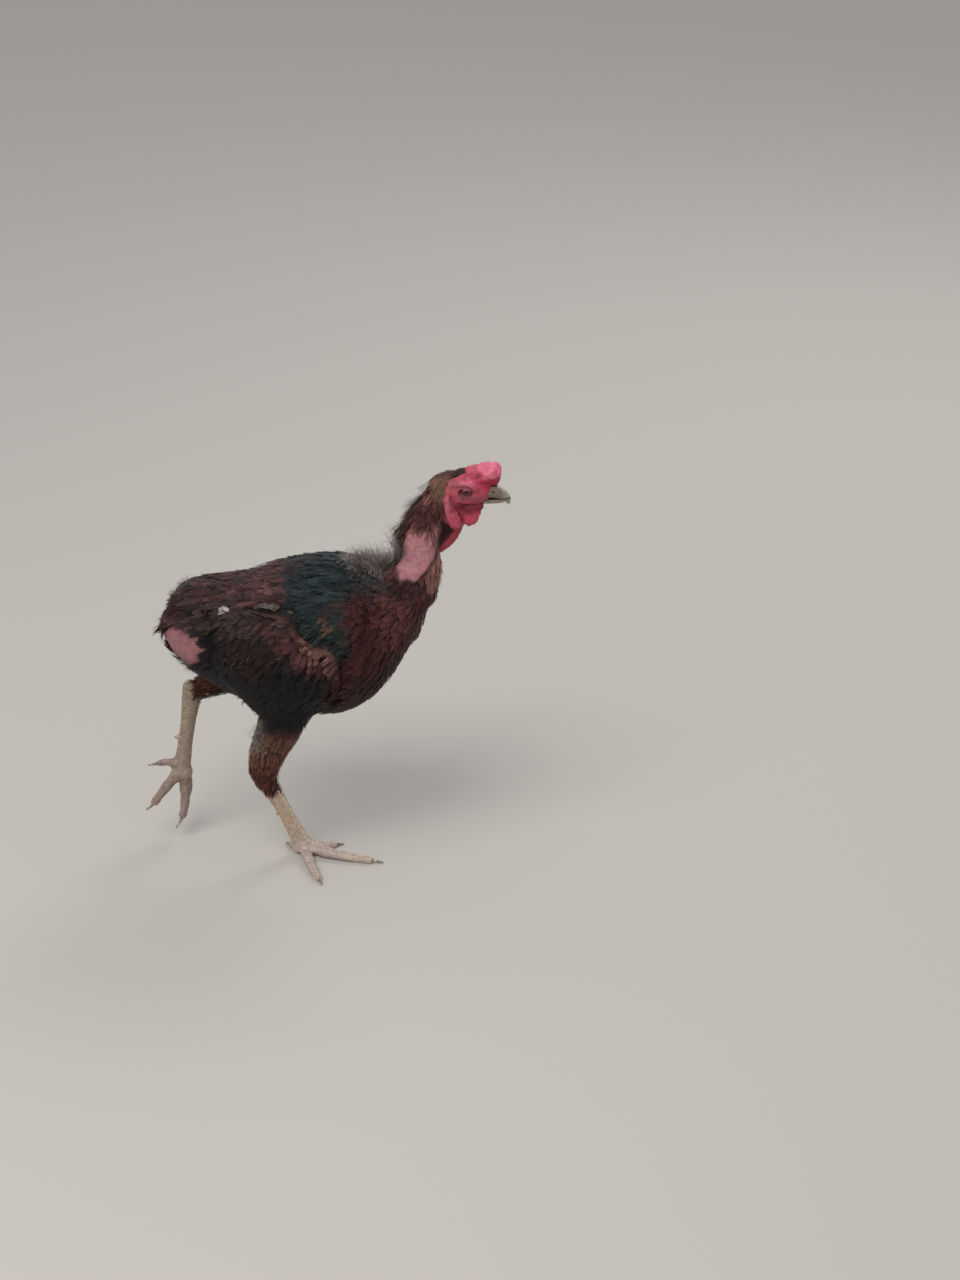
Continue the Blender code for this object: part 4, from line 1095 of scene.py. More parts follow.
def feather_tree():
    """The node group that lays feathers on the skin."""
    tree = bpy.data.node_groups.new("lay_feathers", "GeometryNodeTree")
    sockets = (
        ("Roots", "NodeSocketGeometry"), ("Skin", "NodeSocketObject"), ("Shapes", "NodeSocketCollection"),
        ("Scatter", "NodeSocketBool"), ("Spacing", "NodeSocketFloat"), ("Turn", "NodeSocketFloat"),
        ("Lift", "NodeSocketFloat"), ("Rough", "NodeSocketFloat"), ("Seed", "NodeSocketInt"),
        ("Finish", "NodeSocketMaterial"),
    )
    for name, kind in sockets:
        tree.interface.new_socket(name, in_out="INPUT", socket_type=kind)
    tree.interface.new_socket("Feathers", in_out="OUTPUT", socket_type="NodeSocketGeometry")
    given = add(tree, "NodeGroupInput").outputs
    skin_shape = add(tree, "GeometryNodeObjectInfo", {"Object": given["Skin"]}).outputs["Geometry"]
    here = add(tree, "GeometryNodeInputPosition").outputs[0]

    # What the skin, the roots and the templates carry, read by name.
    read = {}
    for name, kind in CARRIED.items():
        node = add(tree, "GeometryNodeInputNamedAttribute", {"Name": name}, data_type=kind)
        read[name] = node.outputs["Attribute"]
    # The chances of one feather, each with a seed of its own.
    chance = {}
    for number, (name, (low, high)) in enumerate(CHANCES.items(), start=11):
        seed = add(tree, "ShaderNodeMath", {0: given["Seed"], 1: float(number)}, operation="ADD")
        node = add(tree, "FunctionNodeRandomValue", {2: low, 3: high, "Seed": seed}, data_type="FLOAT")
        chance[name] = node.outputs[1]

    # Roots: scattered over the skin, or one at each point given.
    scattered = add(tree, "GeometryNodeDistributePointsOnFaces", {
        "Mesh": given["Roots"], "Distance Min": given["Spacing"], "Density Max": 400000.0,
        "Density Factor": read["cover"], "Seed": given["Seed"],
    }, distribute_method="POISSON")
    single = add(tree, "GeometryNodeMeshToPoints", {"Mesh": given["Roots"]})
    roots = add(tree, "GeometryNodeSwitch", {"Switch": given["Scatter"], "False": single, "True": scattered},
                input_type="GEOMETRY")

    # Each feather stands on the skin, points along the lie, and turns and lifts a little.
    facing = add(tree, "FunctionNodeAxesToRotation", {
        "Primary Axis": read["up"], "Secondary Axis": read["lie"],
    }, primary_axis="Z", secondary_axis="Y")
    yaw = add(tree, "ShaderNodeMath", {0: given["Turn"], 1: chance["yaw"]}, operation="MULTIPLY")
    pitch = add(tree, "ShaderNodeMath", {0: given["Lift"], 1: chance["pitch"]}, operation="MULTIPLY")
    swing = add(tree, "ShaderNodeCombineXYZ", {"X": pitch, "Z": yaw})
    turned = add(tree, "FunctionNodeEulerToRotation", {"Euler": swing})
    facing = add(tree, "FunctionNodeRotateRotation", {"Rotation": facing, "Rotate By": turned},
                 rotation_space="LOCAL")
    wide = add(tree, "ShaderNodeMath", {0: read["width"], 1: chance["wide"]}, operation="MULTIPLY")
    long = add(tree, "ShaderNodeMath", {0: read["length"], 1: chance["long"]}, operation="MULTIPLY")
    scale = add(tree, "ShaderNodeCombineXYZ", {"X": wide, "Y": long, "Z": read["length"]})
    shapes = add(tree, "GeometryNodeCollectionInfo", {
        "Collection": given["Shapes"], "Separate Children": True, "Reset Children": True,
    })
    pick = add(tree, "FunctionNodeRandomValue", {4: 0, 5: 60, "Seed": given["Seed"]}, data_type="INT")
    feathers = add(tree, "GeometryNodeInstanceOnPoints", {
        "Points": roots, "Instance": shapes, "Pick Instance": True, "Instance Index": pick.outputs[2],
        "Rotation": facing, "Scale": scale,
    })

    # Its own shade, and the place of its root on the unwrap, go with it when the copies become one mesh.
    feathers = add(tree, "GeometryNodeStoreNamedAttribute", {
        "Geometry": feathers, "Name": "shade", "Value": chance["shade"],
    }, data_type="FLOAT", domain="INSTANCE")
    root_place = add(tree, "GeometryNodeSampleNearestSurface", {"Mesh": skin_shape, "Value": read["OFBake"]},
                     data_type="FLOAT_VECTOR").outputs["Value"]
    feathers = add(tree, "GeometryNodeStoreNamedAttribute", {
        "Geometry": feathers, "Name": "root_uv", "Value": root_place,
    }, data_type="FLOAT_VECTOR", domain="INSTANCE")
    feathers = add(tree, "GeometryNodeRealizeInstances", {"Geometry": feathers})

    # How high each point of the vane lies over the skin: it rises to the tip, arches across, and is a bit
    # rough.
    power = add(tree, "ShaderNodeMath", {0: read["along"], 1: 0.8}, operation="POWER")
    rise = add(tree, "ShaderNodeMath", {0: read["thick"], 1: power}, operation="MULTIPLY")
    square = add(tree, "ShaderNodeMath", {0: read["across"], 1: read["across"]}, operation="MULTIPLY")
    arch = add(tree, "ShaderNodeMath", {0: 1.0, 1: square}, operation="SUBTRACT")
    camber = add(tree, "ShaderNodeMath", {0: arch, 1: read["width"]}, operation="MULTIPLY")
    noise_at = add(tree, "ShaderNodeTexNoise", {"Vector": here, "Scale": 420.0, "Detail": 1.0})
    fuzz = add(tree, "ShaderNodeMath", {0: noise_at.outputs["Fac"], 1: 0.45}, operation="SUBTRACT")
    worn = add(tree, "ShaderNodeMath", {0: given["Rough"], 1: read["along"]}, operation="MULTIPLY")
    height = add(tree, "ShaderNodeMath", {0: camber, 1: 0.10, 2: rise}, operation="MULTIPLY_ADD")
    height = add(tree, "ShaderNodeMath", {0: fuzz, 1: worn, 2: height}, operation="MULTIPLY_ADD")

    # The vane is pressed onto the skin by its share of hug.
    near = add(tree, "GeometryNodeProximity", {0: skin_shape}, target_element="FACES").outputs["Position"]
    upward = add(tree, "GeometryNodeSampleNearestSurface", {"Mesh": skin_shape, "Value": read["up"]},
                 data_type="FLOAT_VECTOR").outputs["Value"]
    shift = add(tree, "ShaderNodeVectorMath", {0: upward, "Scale": height}, operation="SCALE")
    laid = add(tree, "ShaderNodeVectorMath", {0: near, 1: shift}, operation="ADD")
    mixed = add(tree, "ShaderNodeMix", {0: read["hug"], 4: here, 5: laid}, data_type="VECTOR").outputs[1]
    feathers = add(tree, "GeometryNodeSetPosition", {"Geometry": feathers, "Position": mixed})

    # Each feather has a small patch of its own on the unwrap, 0.003 of the map wide and long.
    patch_x = add(tree, "ShaderNodeMath", {0: read["across"], 1: PATCH / 2}, operation="MULTIPLY")
    patch_y = add(tree, "ShaderNodeMath", {0: read["along"], 1: PATCH, 2: -PATCH / 2},
                  operation="MULTIPLY_ADD")
    patch = add(tree, "ShaderNodeCombineXYZ", {"X": patch_x, "Y": patch_y})
    spot = add(tree, "ShaderNodeVectorMath", {0: read["root_uv"], 1: patch}, operation="ADD")
    feathers = add(tree, "GeometryNodeStoreNamedAttribute", {
        "Geometry": feathers, "Name": "OFBake", "Value": spot,
    }, data_type="FLOAT2", domain="CORNER")
    feathers = add(tree, "GeometryNodeSetShadeSmooth", {"Geometry": feathers})
    feathers = add(tree, "GeometryNodeSetMaterial", {"Geometry": feathers, "Material": given["Finish"]})
    add(tree, "NodeGroupOutput", {0: feathers})
    return tree


lay_feathers = feather_tree()
print("feather tree nodes:", len(lay_feathers.nodes))

# %% [markdown]
# ## The finish of the feathers
# A barb is a dry keratin fibre. Melanin makes it brown or black, and thin layers in the dark ones give a
# blue-green gloss. The colour comes from the markings; each feather is a little lighter or darker than
# its neighbours, painted darker towards its root as shade from the feathers over it, and streaked along its
# barbs.


# %% Feather finish
def feather_keratin():
    """Matt keratin barbs, smoother where the markings are glossy."""
    made, tree, shader = principled("feather_keratin", IOR=1.5, Specular_IOR_Level=0.16, Sheen_Weight=0.03,
                                    Sheen_Roughness=0.45)
    tint, gloss, shade, along, across = carried(tree, "feather", "gloss", "shade", "along", "across")
    # Barbs 0.4 mm apart, drawn a little coarser than real ones so that they show.
    lean = add(tree, "ShaderNodeMath", {0: across, 1: across}, operation="MULTIPLY")
    turn = add(tree, "ShaderNodeMath", {0: along, 1: lean}, operation="SUBTRACT")
    count = add(tree, "ShaderNodeMath", {0: turn, 1: 150.0}, operation="MULTIPLY")
    wave = add(tree, "ShaderNodeMath", {0: count}, operation="SINE")
    place_at = add(tree, "ShaderNodeTexCoord").outputs["Object"]
    fray = add(tree, "ShaderNodeTexNoise", {"Vector": place_at, "Scale": 620.0, "Detail": 3.0})
    shares = [
        add(tree, "ShaderNodeMapRange", {"Value": shade, "To Min": 0.62, "To Max": 1.36}),
        # Painted shade: darker towards the root, where the feather over it shades it, lighter towards the
        # tip.
        add(tree, "ShaderNodeMapRange", {"Value": along, "To Min": 0.45, "To Max": 1.22}),
        add(tree, "ShaderNodeMapRange", {"Value": wave, "From Min": -1.0, "To Min": 0.90, "To Max": 1.08}),
        add(tree, "ShaderNodeMapRange", {"Value": fray, "From Min": 0.3, "From Max": 0.7, "To Min": 0.75,
                                         "To Max": 1.25}),
    ]
    rough = add(tree, "ShaderNodeMapRange", {"Value": gloss, "To Min": 0.66, "To Max": 0.34})
    bump = add(tree, "ShaderNodeBump", {"Height": wave, "Strength": 0.25, "Distance": 0.0003})
    feed(tree, shader, {"Base Color": shaded(tree, tint, shares), "Normal": bump, "Roughness": rough})
    return made


def scute_keratin():
    """Dry horny plates: smoother than skin, pale at the free edge, with dirt in the joints."""
    made, tree, shader = principled("scute_keratin", IOR=1.5, Subsurface_Weight=0.05, Subsurface_Scale=0.002)
    tint, along, across = carried(tree, "feather", "along", "across")
    place_at = add(tree, "ShaderNodeTexCoord").outputs["Object"]
    stain = add(tree, "ShaderNodeTexNoise", {"Vector": place_at, "Scale": 260.0, "Detail": 4.0})
    grain = add(tree, "ShaderNodeTexNoise", {"Vector": place_at, "Scale": 1500.0, "Detail": 2.0})
    side = add(tree, "ShaderNodeMath", {0: across}, operation="ABSOLUTE")
    shares = [
        add(tree, "ShaderNodeMapRange", {"Value": along, "From Max": 0.8, "To Min": 0.74, "To Max": 1.06}),
        add(tree, "ShaderNodeMapRange", {"Value": side, "From Min": 0.6, "To Min": 1.0, "To Max": 0.84}),
        add(tree, "ShaderNodeMapRange", {"Value": stain, "From Min": 0.3, "From Max": 0.7, "To Min": 0.72,
                                         "To Max": 1.2}),
    ]
    bump = add(tree, "ShaderNodeBump", {"Height": grain, "Strength": 0.3, "Distance": 0.0002})
    rough = add(tree, "ShaderNodeMapRange", {"Value": grain, "To Min": 0.36, "To Max": 0.62})
    feed(tree, shader, {"Base Color": shaded(tree, tint, shares), "Normal": bump, "Roughness": rough})
    return made


feather_finish = feather_keratin()
scute_finish = scute_keratin()

# %% [markdown]
# ## The coat
# The skin now carries what the tree reads: which way is up, the lie, the colours, and the size of feather
# that grows at each place. Feathers are largest on the wings and tail, narrow and long on the neck, and
# smallest at the edge of the face.


# %% What the skin tells the feathers
def flat_lies(lies, normals, points):
    """The lie pressed onto the skin, and swirled a little so that no two rows are alike."""
    swirl = np.array([list(noise.noise_vector(Vector(p) / 0.016)) for p in points.tolist()])
    lies = lies / np.linalg.norm(lies, axis=1)[:, None] + swirl * 0.30
    lies -= normals * np.sum(lies * normals, axis=1)[:, None]
    return lies / np.maximum(np.linalg.norm(lies, axis=1)[:, None], 1e-6)


# Width, length and tip height in millimetres by part.
SIZES = {
    "trunk": (6.8, 15.5, 3.3), "tail": (7.5, 20.0, 4.0), "neck_lower": (3.4, 11.0, 2.2),
    "neck_upper": (3.0, 10.0, 2.2), "head": (1.9, 5.0, 1.2), "comb": (1.5, 3.4, 0.9),
    "wing": (7.6, 17.0, 2.6), "thigh": (5.8, 13.0, 3.0), "drumstick": (3.6, 8.5, 1.9),
}
NO_FEATHER = (1.5, 3.0, 0.6)
HUG = 0.93

skin_points = points
skin_normals = normals_of(skin_mesh)
sizes = np.array([by_part(SIZES, name, NO_FEATHER) for name in SOLIDS])[nearest]
sizes = spread(sizes, edges, 8) * MM
feathered = (1 - bare) * (1 - part_mask("bill", "eye"))
store(skin_mesh, "up", skin_normals, "FLOAT_VECTOR")
store(skin_mesh, "lie", flat_lies(lies, skin_normals, points), "FLOAT_VECTOR")
for name, values in zip(("width", "length", "thick"), sizes.T):
    store(skin_mesh, name, values)
store(skin_mesh, "hug", np.full(len(points), HUG))
store(skin_mesh, "feather", feather_colours, "FLOAT_COLOR")
store(skin_mesh, "gloss", feather_gloss)
# Only the tree reads these, so a finished piece drops them.
SPENT = ("up", "lie", "width", "length", "thick", "hug", "root_uv", "cover", "skin_tint", "wrinkle")


def dressed(name, mesh, shapes, slot, nodes=(), spacing=4.0, turn=9, lift=8, rough=1.2, seed=1, scatter=True,
            finish=None):
    """Runs the feather tree on the mesh, and keeps the plain mesh it makes."""
    roots = place(name + "_roots", mesh)
    modifier = roots.modifiers.new("feathers", "NODES")
    modifier.node_group = lay_feathers
    values = {
        "Skin": skin, "Shapes": shapes, "Scatter": scatter, "Spacing": spacing * MM, "Rough": rough * MM,
        "Turn": math.radians(turn), "Lift": math.radians(lift), "Seed": seed,
        "Finish": finish or feather_finish,
    }
    for socket in lay_feathers.interface.items_tree:
        if socket.name in values:
            modifier[socket.identifier] = values[socket.name]
    made = baked(roots)
    bpy.data.objects.remove(roots)
    for attribute in SPENT:
        if attribute in made.attributes:
            made.attributes.remove(made.attributes[attribute])
    made.name = name
    count = sum(len(face.vertices) - 2 for face in made.polygons)
    print(f"{name}: {count} triangles")
    return finish_piece(place(name, made), None, slot, *nodes)


# %% Feathers over the skin
def coat_piece(name, share, shapes, slot, **settings):
    """A piece of the coat where share of the skin is its own."""
    ground = skin_mesh.copy()
    store(ground, "cover", np.clip(share * feathered, 0, 1))
    return dressed(name, ground, shapes, slot, **settings)


BREAST_TOP = 0.262
high = (skin_points[:, 2] > BREAST_TOP).astype(float)
COAT_PIECES = [
    ("back_feathers", part_mask("trunk") * high, CONTOUR, "plumage_red", 4.0),
    ("breast_feathers", part_mask("trunk") * (1 - high), CONTOUR, "plumage_red", 4.0),
    ("wing_feathers", part_mask("wing"), CONTOUR, "plumage_red", 3.8),
    ("thigh_feathers", part_mask("thigh"), RAGGED, "plumage_dark", 3.1),
    ("drumstick_feathers", part_mask("drumstick"), RAGGED, "plumage_red", 2.7),
    ("hackle_feathers", part_mask("neck_lower", "neck_upper"), HACKLE, "plumage_red", 2.5),
    ("crown_feathers", part_mask("head", "comb"), HACKLE, "plumage_red", 1.35),
    ("tail_feathers", part_mask("tail"), RAGGED, "plumage_red", 4.2),
]
for seed, (name, share, shapes, slot, spacing) in enumerate(COAT_PIECES, start=1):
    coat_piece(name, share, shapes, slot, spacing=spacing, seed=seed)

# %% [markdown]
# ## Feathers placed one by one
# Some feathers don't belong to an even coat: the flight feathers behind the folded wing, the long glossy
# ones that hang from the shoulder, the wisps that stand off the nape, and the loose down where the bird
# is moulting. Their roots are given one by one. Each root is dropped onto the skin from the side, and the
# same tree lays the feather.


# %% Roots for single feathers
def curled_quill(name, bend, seed):
    """A pin feather still in its sheath: a thin, tapered, curled strand with three sides."""
    chance = np.random.default_rng(seed)
    vertices, faces = [], []
    steps = 7
    for row in range(steps):
        t = row / (steps - 1)
        turn = bend * t**1.4 + chance.normal() * 0.05
        x, y, z = math.sin(turn) * t * 0.8, math.cos(turn) * t, 0.10 * math.sin(math.pi * t)
        thin = 0.060 * (1 - 0.85 * t) + 0.004
        for corner in range(3):
            angle = corner * math.tau / 3
            vertices.append((x + thin * math.cos(angle), y + 0.002 * corner, z + thin * math.sin(angle)))
    for row in range(steps - 1):
        for corner in range(3):
            a, b = row * 3 + corner, row * 3 + (corner + 1) % 3
            faces.append([a, b, b + 3, a + 3])
    return template(name, vertices, faces)


PIN = sheaf(
    "pin_shapes", curled_quill("pin_a", 0.9, 21), curled_quill("pin_b", -0.6, 22),
    curled_quill("pin_c", 1.5, 23),
)
skin_faces = [list(face.vertices) for face in skin_mesh.polygons]
skin_tree = BVHTree.FromPolygons([vertex.co for vertex in skin_mesh.vertices], skin_faces)


def dropped(x, z, sign, above):
    """The point of skin reached from the side, or the nearest to a place over the back, and its normal."""
    if above is None:
        return skin_tree.ray_cast(Vector((x, sign * 0.3, z)), Vector((0, -sign, 0)))[:2]
    return skin_tree.find_nearest(Vector((x, above, z)))[:2]


def roots_mesh(rows):
    """A mesh of loose points, each with the lie, size, colour and height of its feather."""
    kept = [row for row in rows if row["at"] is not None]
    mesh = bpy.data.meshes.new("roots")
    mesh.from_pydata([row["at"] for row in kept], [], [])
    lies = [(row["lie"] - row["up"] * row["lie"].dot(row["up"]) * row["hug"]).normalized() for row in kept]
    store(mesh, "up", [row["up"] for row in kept], "FLOAT_VECTOR")
    store(mesh, "lie", lies, "FLOAT_VECTOR")
    for name in ("width", "length", "thick"):
        store(mesh, name, [row[name] * MM for row in kept])
    for name in ("hug", "gloss"):
        store(mesh, name, [row[name] for row in kept])
    store(mesh, "feather", [linear(row["colour"]) for row in kept], "FLOAT_COLOR")
    return mesh


def placed(name, rows, shapes, slot, nodes=(), **settings):
    """A piece of feathers whose roots are given one by one."""
    return dressed(name, roots_mesh(rows), shapes, slot, nodes, scatter=False, **settings)


def patch_of(x, z, radius, count, lie, size, hug, colours, gloss=0.2, sides=SIDES, above=None, seed=1,
             fan=0.25):
    """Rows for feathers scattered round a place on the side, or over the back where above is given.

    Places and sizes are in millimetres, and fan is how far the feathers point apart.
    """
    chance = np.random.default_rng(seed)
    rows = []
    for number in range(count):
        side = sides[number % len(sides)]
        sign = -1 if side == "right" else 1
        dx, dz = chance.normal(size=2) * np.array(radius) * 0.5
        level = None if above is None else (-sign * above + chance.normal() * radius[0] * 0.6) / METRE
        at, up = dropped((x + dx) / METRE, (z + dz) / METRE, sign, level)
        aim = Vector(lie) + Vector(chance.normal(size=3)) * fan
        aim.y *= 1 if above is not None else -sign
        width, length, thick = (value * (0.8 + 0.4 * chance.random()) for value in size)
        rows.append({
            "at": at, "up": up, "lie": aim, "width": width, "length": length, "thick": thick, "hug": hug,
            "gloss": gloss, "colour": colours[number % len(colours)],
        })
    return rows


# %% Flight feathers and shoulder feathers
MAROON = ["#4b2e2d", "#3e2626", "#543533", "#312020"]
QUILLS = ["#382323", "#2d1d1d", "#3e2828", "#251a1a"]
TEAL = ["#1d2729", "#232f32", "#181e20"]
for side in SIDES:
    quills = []
    for number in range(8):
        drop = number / 7
        quills += patch_of(-40 - 3 * number, 307 - 10 * drop, (2, 1), 1, (-1, 0, -0.10 - 0.20 * drop),
                           (9.5, 62 - 12 * drop, 4.6 + 0.5 * drop), 0.90, [QUILLS[number % 4]], 0.35, (side,),
                           seed=30 + number, fan=0.03)
    placed(f"flight_feathers_{side}", quills, FLIGHT, "plumage_dark", (f"flight_{side}",), turn=2, lift=1,
           rough=1.5, seed=31)
coverts = []
for row in range(6):
    for column in range(8):
        coverts += patch_of(-4 - 13 * column - 4 * (row % 2), 335, (2, 1), 2, (-1, 0, -0.30), (9.0, 25, 4.4),
                            0.90, [MAROON[(row + column) % 4]], 0.35, above=-8 - 8.5 * row,
                            seed=50 + row * 8 + column, fan=0.07)
for row in range(7):
    for column in range(4):
        coverts += patch_of(76 - 14 * column - row, 345, (3, 2), 2, (-1, 0, -0.36), (8.5, 29, 4.4), 0.90,
                            [TEAL[(row + column) % 3]], 1.0, above=-8 - 8.5 * row,
                            seed=190 + row * 4 + column, fan=0.08)
placed("shoulder_feathers", coverts, FLIGHT, "plumage_red", turn=4, lift=2, rough=1.4, seed=32)

# %% Down, wisps and pin feathers
GREY = ["#8f8781", "#9c948e", "#77706b"]
CLOUD = ["#a59a91", "#968c84", "#857b73"]
PALE = ["#b9a9ac", "#a5969a"]
SOOT = ["#6a615c", "#776d67"]
TAN = ["#5c4237", "#4e3930"]
COAL = ["#1d1a1a", "#241f1e"]
RIGHT = ("right",)
fluff = patch_of(83, 330, (11, 5), 170, (-0.22, 0, 1.0), (22, 29, 4), 0.0, CLOUD, sides=RIGHT, above=-10,
                 seed=61, fan=0.18)
fluff += patch_of(86, 332, (10, 5), 90, (-0.15, 0, 1.0), (20, 27, 4), 0.0, CLOUD, sides=RIGHT, above=4,
                  seed=60, fan=0.18)
placed("neck_fluff", fluff, FLUFF, "plumage_dark", turn=14, lift=6, rough=0.6, seed=39)
down = patch_of(-100, 308, (20, 4), 60, (-0.9, 0, 0.7), (13, 16, 4), 0.05, SOOT, sides=RIGHT, above=-4,
                seed=62, fan=0.4)
down += patch_of(-106, 226, (14, 10), 90, (-0.9, 0, -0.7), (11, 13, 3), 0.15, GREY, seed=63, fan=0.4)
down += patch_of(-48, 158, (12, 16), 90, (-1.0, 0, -0.20), (10, 13, 3), 0.10, GREY, seed=64, fan=0.4)
placed("loose_down", down, DOWN, "plumage_dark", turn=35, lift=14, rough=0.6, seed=33)

NAPE = ["#5d3f38", "#6b4a3e", "#4a302c"]
STERN = ["#38211f", "#2f1b1a", "#402625", "#261818"]
wisps = []
for step in range(7):
    wisps += patch_of(134 - 5.8 * step, 402 - 9.8 * step, (6, 6), 34, (-1.0, 0, -0.85 - 0.06 * step),
                      (4.4, 25 + 1.2 * step, 3), 0.20, NAPE, above=-2, seed=171 + step, fan=0.13)
wisps += patch_of(113, 379, (7, 7), 16, (-0.72, 0, -1.0), (7.0, 34, 5), 0.06, ["#3f2a28", "#4d3430"],
                  above=-5, seed=191, fan=0.10)
for step in range(4):
    wisps += patch_of(118 - 6 * step, 376 - 10 * step, (4, 4), 9, (-0.85, 0, -1.0), (5.5, 24, 5), 0.42, NAPE,
                      above=-6, seed=181 + step, fan=0.10)
for step in range(6):
    wisps += patch_of(-124 - 2 * step, 304 - 8 * step, (4, 5), 14, (-1.0, 0, 0.05 - 0.12 * step),
                      (7.0, 19, 4), 0.40, STERN, above=-4 - 7 * (step % 4), seed=201 + step, fan=0.18)
# Over the stern, round the bare patches, behind the thigh and down the throat.
wisps += patch_of(-116, 292, (12, 14), 60, (-1, 0, 0.15), (6, 20, 3), 0.25, STERN, above=-30, seed=73,
                  fan=0.30)
wisps += patch_of(-128, 272, (6, 20), 60, (-1, 0, -0.5), (6, 17, 3), 0.30, STERN, above=-20, seed=74)
wisps += patch_of(-112, 275, (18, 4), 50, (-0.55, 0, -1), (2.6, 15, 3), 0.55, STERN, seed=211, fan=0.28)
wisps += patch_of(-86, 254, (4, 24), 34, (-1, 0, 0.1), (2.4, 11, 3), 0.50, COAL, 0.3, seed=212, fan=0.30)
wisps += patch_of(120, 364, (22, 4), 50, (-0.35, 0, -1), (2.2, 13, 3), 0.60, NAPE, seed=213, fan=0.20)
wisps += patch_of(-52, 196, (24, 8), 90, (-0.5, 0, -1), (5.0, 17, 4), 0.35, COAL, 0.3, seed=75, fan=0.2)
wisps += patch_of(142, 314, (4, 14), 40, (0.25, 0, -1), (2.4, 10, 3), 0.35, ["#6d4a3c", "#7c6248"],
                  above=0.0, seed=76, fan=0.2)
placed("loose_wisps", wisps, WISP, "plumage_red", turn=12, lift=8, rough=0.8, seed=34)

BARE_QUILL = ["#92705f", "#7d5c50", "#6b4d44"]
pins = []
for seed, (x, z, radius, count, fall, long) in enumerate((
    (-36, 277, (14, 7), 16, -0.8, 13), (-50, 256, (13, 9), 18, -0.9, 14), (-14, 255, (7, 6), 10, -0.9, 12),
), start=81):
    pins += patch_of(x, z, radius, count, (-0.8, 0, fall), (5, long, 6.4), 0.80, BARE_QUILL, 0.5, seed=seed)
pins += patch_of(91, 318, (3, 2), 4, (0.5, 0, -0.8), (13, 15, 7), 0.50, ["#1c1919"], 0.4, above=-20, seed=85)
placed("pin_feathers", pins, PIN, "plumage_red", turn=25, lift=6, rough=0.4, seed=35)
tips = []
for x, z, radius, count, size, colours in (
    (36, 292.5, (5, 3), 5, (4.6, 13, 5.4), TAN), (43, 286, (4, 3), 5, (4.6, 13, 5.4), TAN),
    (-64, 288.5, (6, 2.5), 26, (5.0, 8, 5.6), PALE), (-16, 298.5, (15, 2.5), 34, (4.6, 8, 5.6), SOOT),
):
    tips += patch_of(x, z, radius, count, (-0.7, 0, -0.7), size, 0.90, colours, seed=84 + len(tips), fan=0.2)
placed("pale_tips", tips, RAGGED, "plumage_red", turn=12, lift=4, rough=0.8, seed=38)

# %% [markdown]
# ## Scales of the legs
# A fowl's shank and toes carry scutes: broad, overlapping, slightly domed plates down the front and along
# the top of each toe, and small scales round the sides. Each leg bone's middle line is the long axis of its
# solid, and scutes are set on the skin round it by rays cast outwards, row after row.


# %% Scutes
def scute(name, seed):
    """A plate one wide and one long, domed across, with a rounded free edge that turns down."""
    chance = np.random.default_rng(seed)
    vertices, faces = [], []
    for row, t in enumerate((0.0, 0.35, 0.72, 1.0)):
        for x in (-0.5, -0.3, 0.0, 0.3, 0.5):
            edge = t - 0.22 * (x * 2) ** 2 * t
            vertices.append((x * (1 - 0.12 * t), edge, 0.0 if row < 3 else -0.02 * chance.random()))
    for row in range(3):
        for column in range(4):
            a = row * 5 + column
            faces.append([a, a + 1, a + 6, a + 5])
    return template(name, vertices, faces)


SCUTES = sheaf("scute_shapes", scute("scute_a", 41), scute("scute_b", 42))
SCALE_LIE = (0.15, 0.0, -1.0)
# The left leg's scale colours are darker copies of the right's: painted shade.
LEG_SKIN = {
    "right": ["#ccb598", "#bfa293", "#d2bd9f", "#c6ab98"],
    "left": ["#99866d", "#8e7769", "#a18e74", "#957f70"],
}
TOE_SKIN = {
    "right": ["#cdb9a5", "#c1ad9d", "#d3c0ac", "#c7b2a1"],
    "left": ["#a2897f", "#967d74", "#aa9286", "#9e847a"],
}
# Angles from the front or top of the bone, with the width and length of the plates there, in millimetres.
SHANK_ROWS = ((-27, 6.4, 4.0), (27, 6.4, 4.0), (-150, 5.0, 4.0), (150, 5.0, 4.0))
TOE_ROWS = ((0, 6.6, 3.0),)


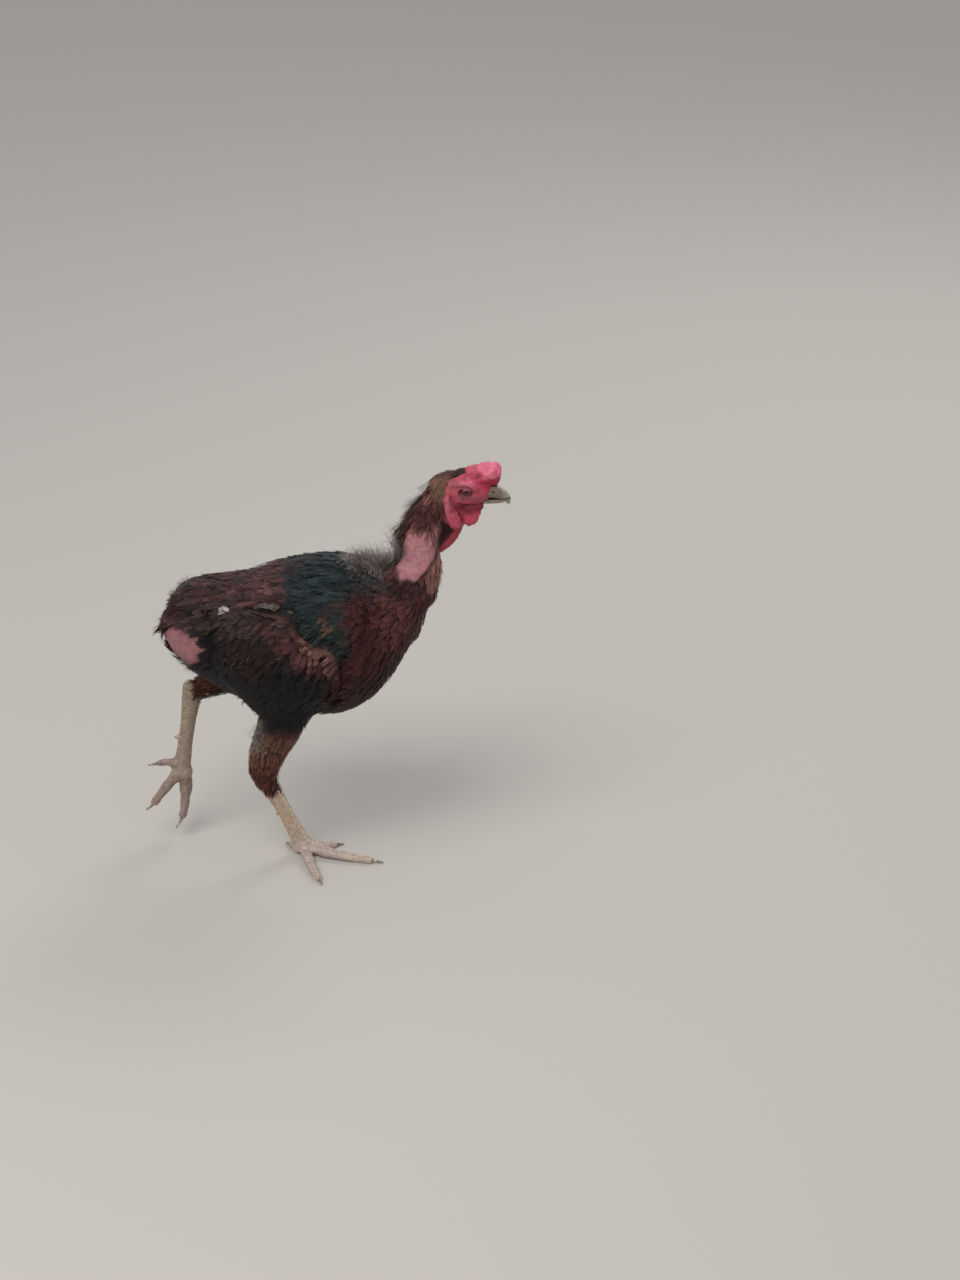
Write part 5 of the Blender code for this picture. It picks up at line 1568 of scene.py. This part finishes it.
def scale_rows(name, front, rows, step):
    """Rows of scales round one leg bone, from its upper end to its lower."""
    at = np.array([vertex.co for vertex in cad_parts[name].data.vertices])
    middle = at.mean(axis=0)
    axis = Vector(np.linalg.svd(at - middle, full_matrices=False)[2][0])
    reach = (at - middle) @ np.array(axis)
    start, end = (Vector(middle) + axis * value for value in (reach.min(), reach.max()))
    if (start - end).dot(Vector((-0.35, 0, 1))) < 0:
        start, end = end, start
    down = (end - start).normalized()
    length = (end - start).length
    facing = (Vector(front) - down * Vector(front).dot(down)).normalized()
    colours = (TOE_SKIN if name.startswith("toe") else LEG_SKIN)[name.split("_")[-1]]
    found = []
    for angle, width, long in rows:
        outward = Matrix.Rotation(math.radians(angle), 3, down) @ facing
        for number in range(int(length / (step * MM))):
            along = (number + (0.5 if angle > 0 else 0.0)) * step * MM
            core = start + down * along
            spot, normal, _, _ = skin_tree.ray_cast(core + outward * 0.02, -outward, 0.021)
            if spot is None:
                continue
            found.append({
                "at": spot, "up": normal, "lie": down, "width": width, "length": long, "thick": 0.35,
                "hug": 0.97, "gloss": 0.5, "colour": colours[(number * number + angle) % 4],
            })
    return found


small = skin_mesh.copy()
downward = skin_normals[:, 2] < -0.3
store(small, "cover", spread(part_mask("shank", "foot", "toe"), edges, 2)[:, 0] * ~downward)
store(small, "lie", flat_lies(np.tile(SCALE_LIE, (len(points), 1)), skin_normals, points), "FLOAT_VECTOR")
for name, size in (("width", 2.6), ("length", 2.7), ("thick", 0.22)):
    store(small, name, np.full(len(points), size * MM))
dressed("small_scales", small, SCUTES, "leg_scale", spacing=1.75, turn=8, lift=1, rough=0.05, seed=37,
        finish=scute_finish)
for side in SIDES:
    front = (1, 0, 0.15) if side == "right" else (1, 0.1, -0.2)
    scales = scale_rows(f"shank_{side}", front, SHANK_ROWS, 2.7)
    for number in (1, 2, 3, 4):
        top = (0, 0, 1) if side == "right" else (0.8, 0, 0.5)
        scales += scale_rows(f"toe_{number}_{side}", top, TOE_ROWS, 2.1)
    placed(f"scutes_{side}", scales, SCUTES, "leg_scale", turn=3, lift=1, rough=0.1, seed=36,
           finish=scute_finish)
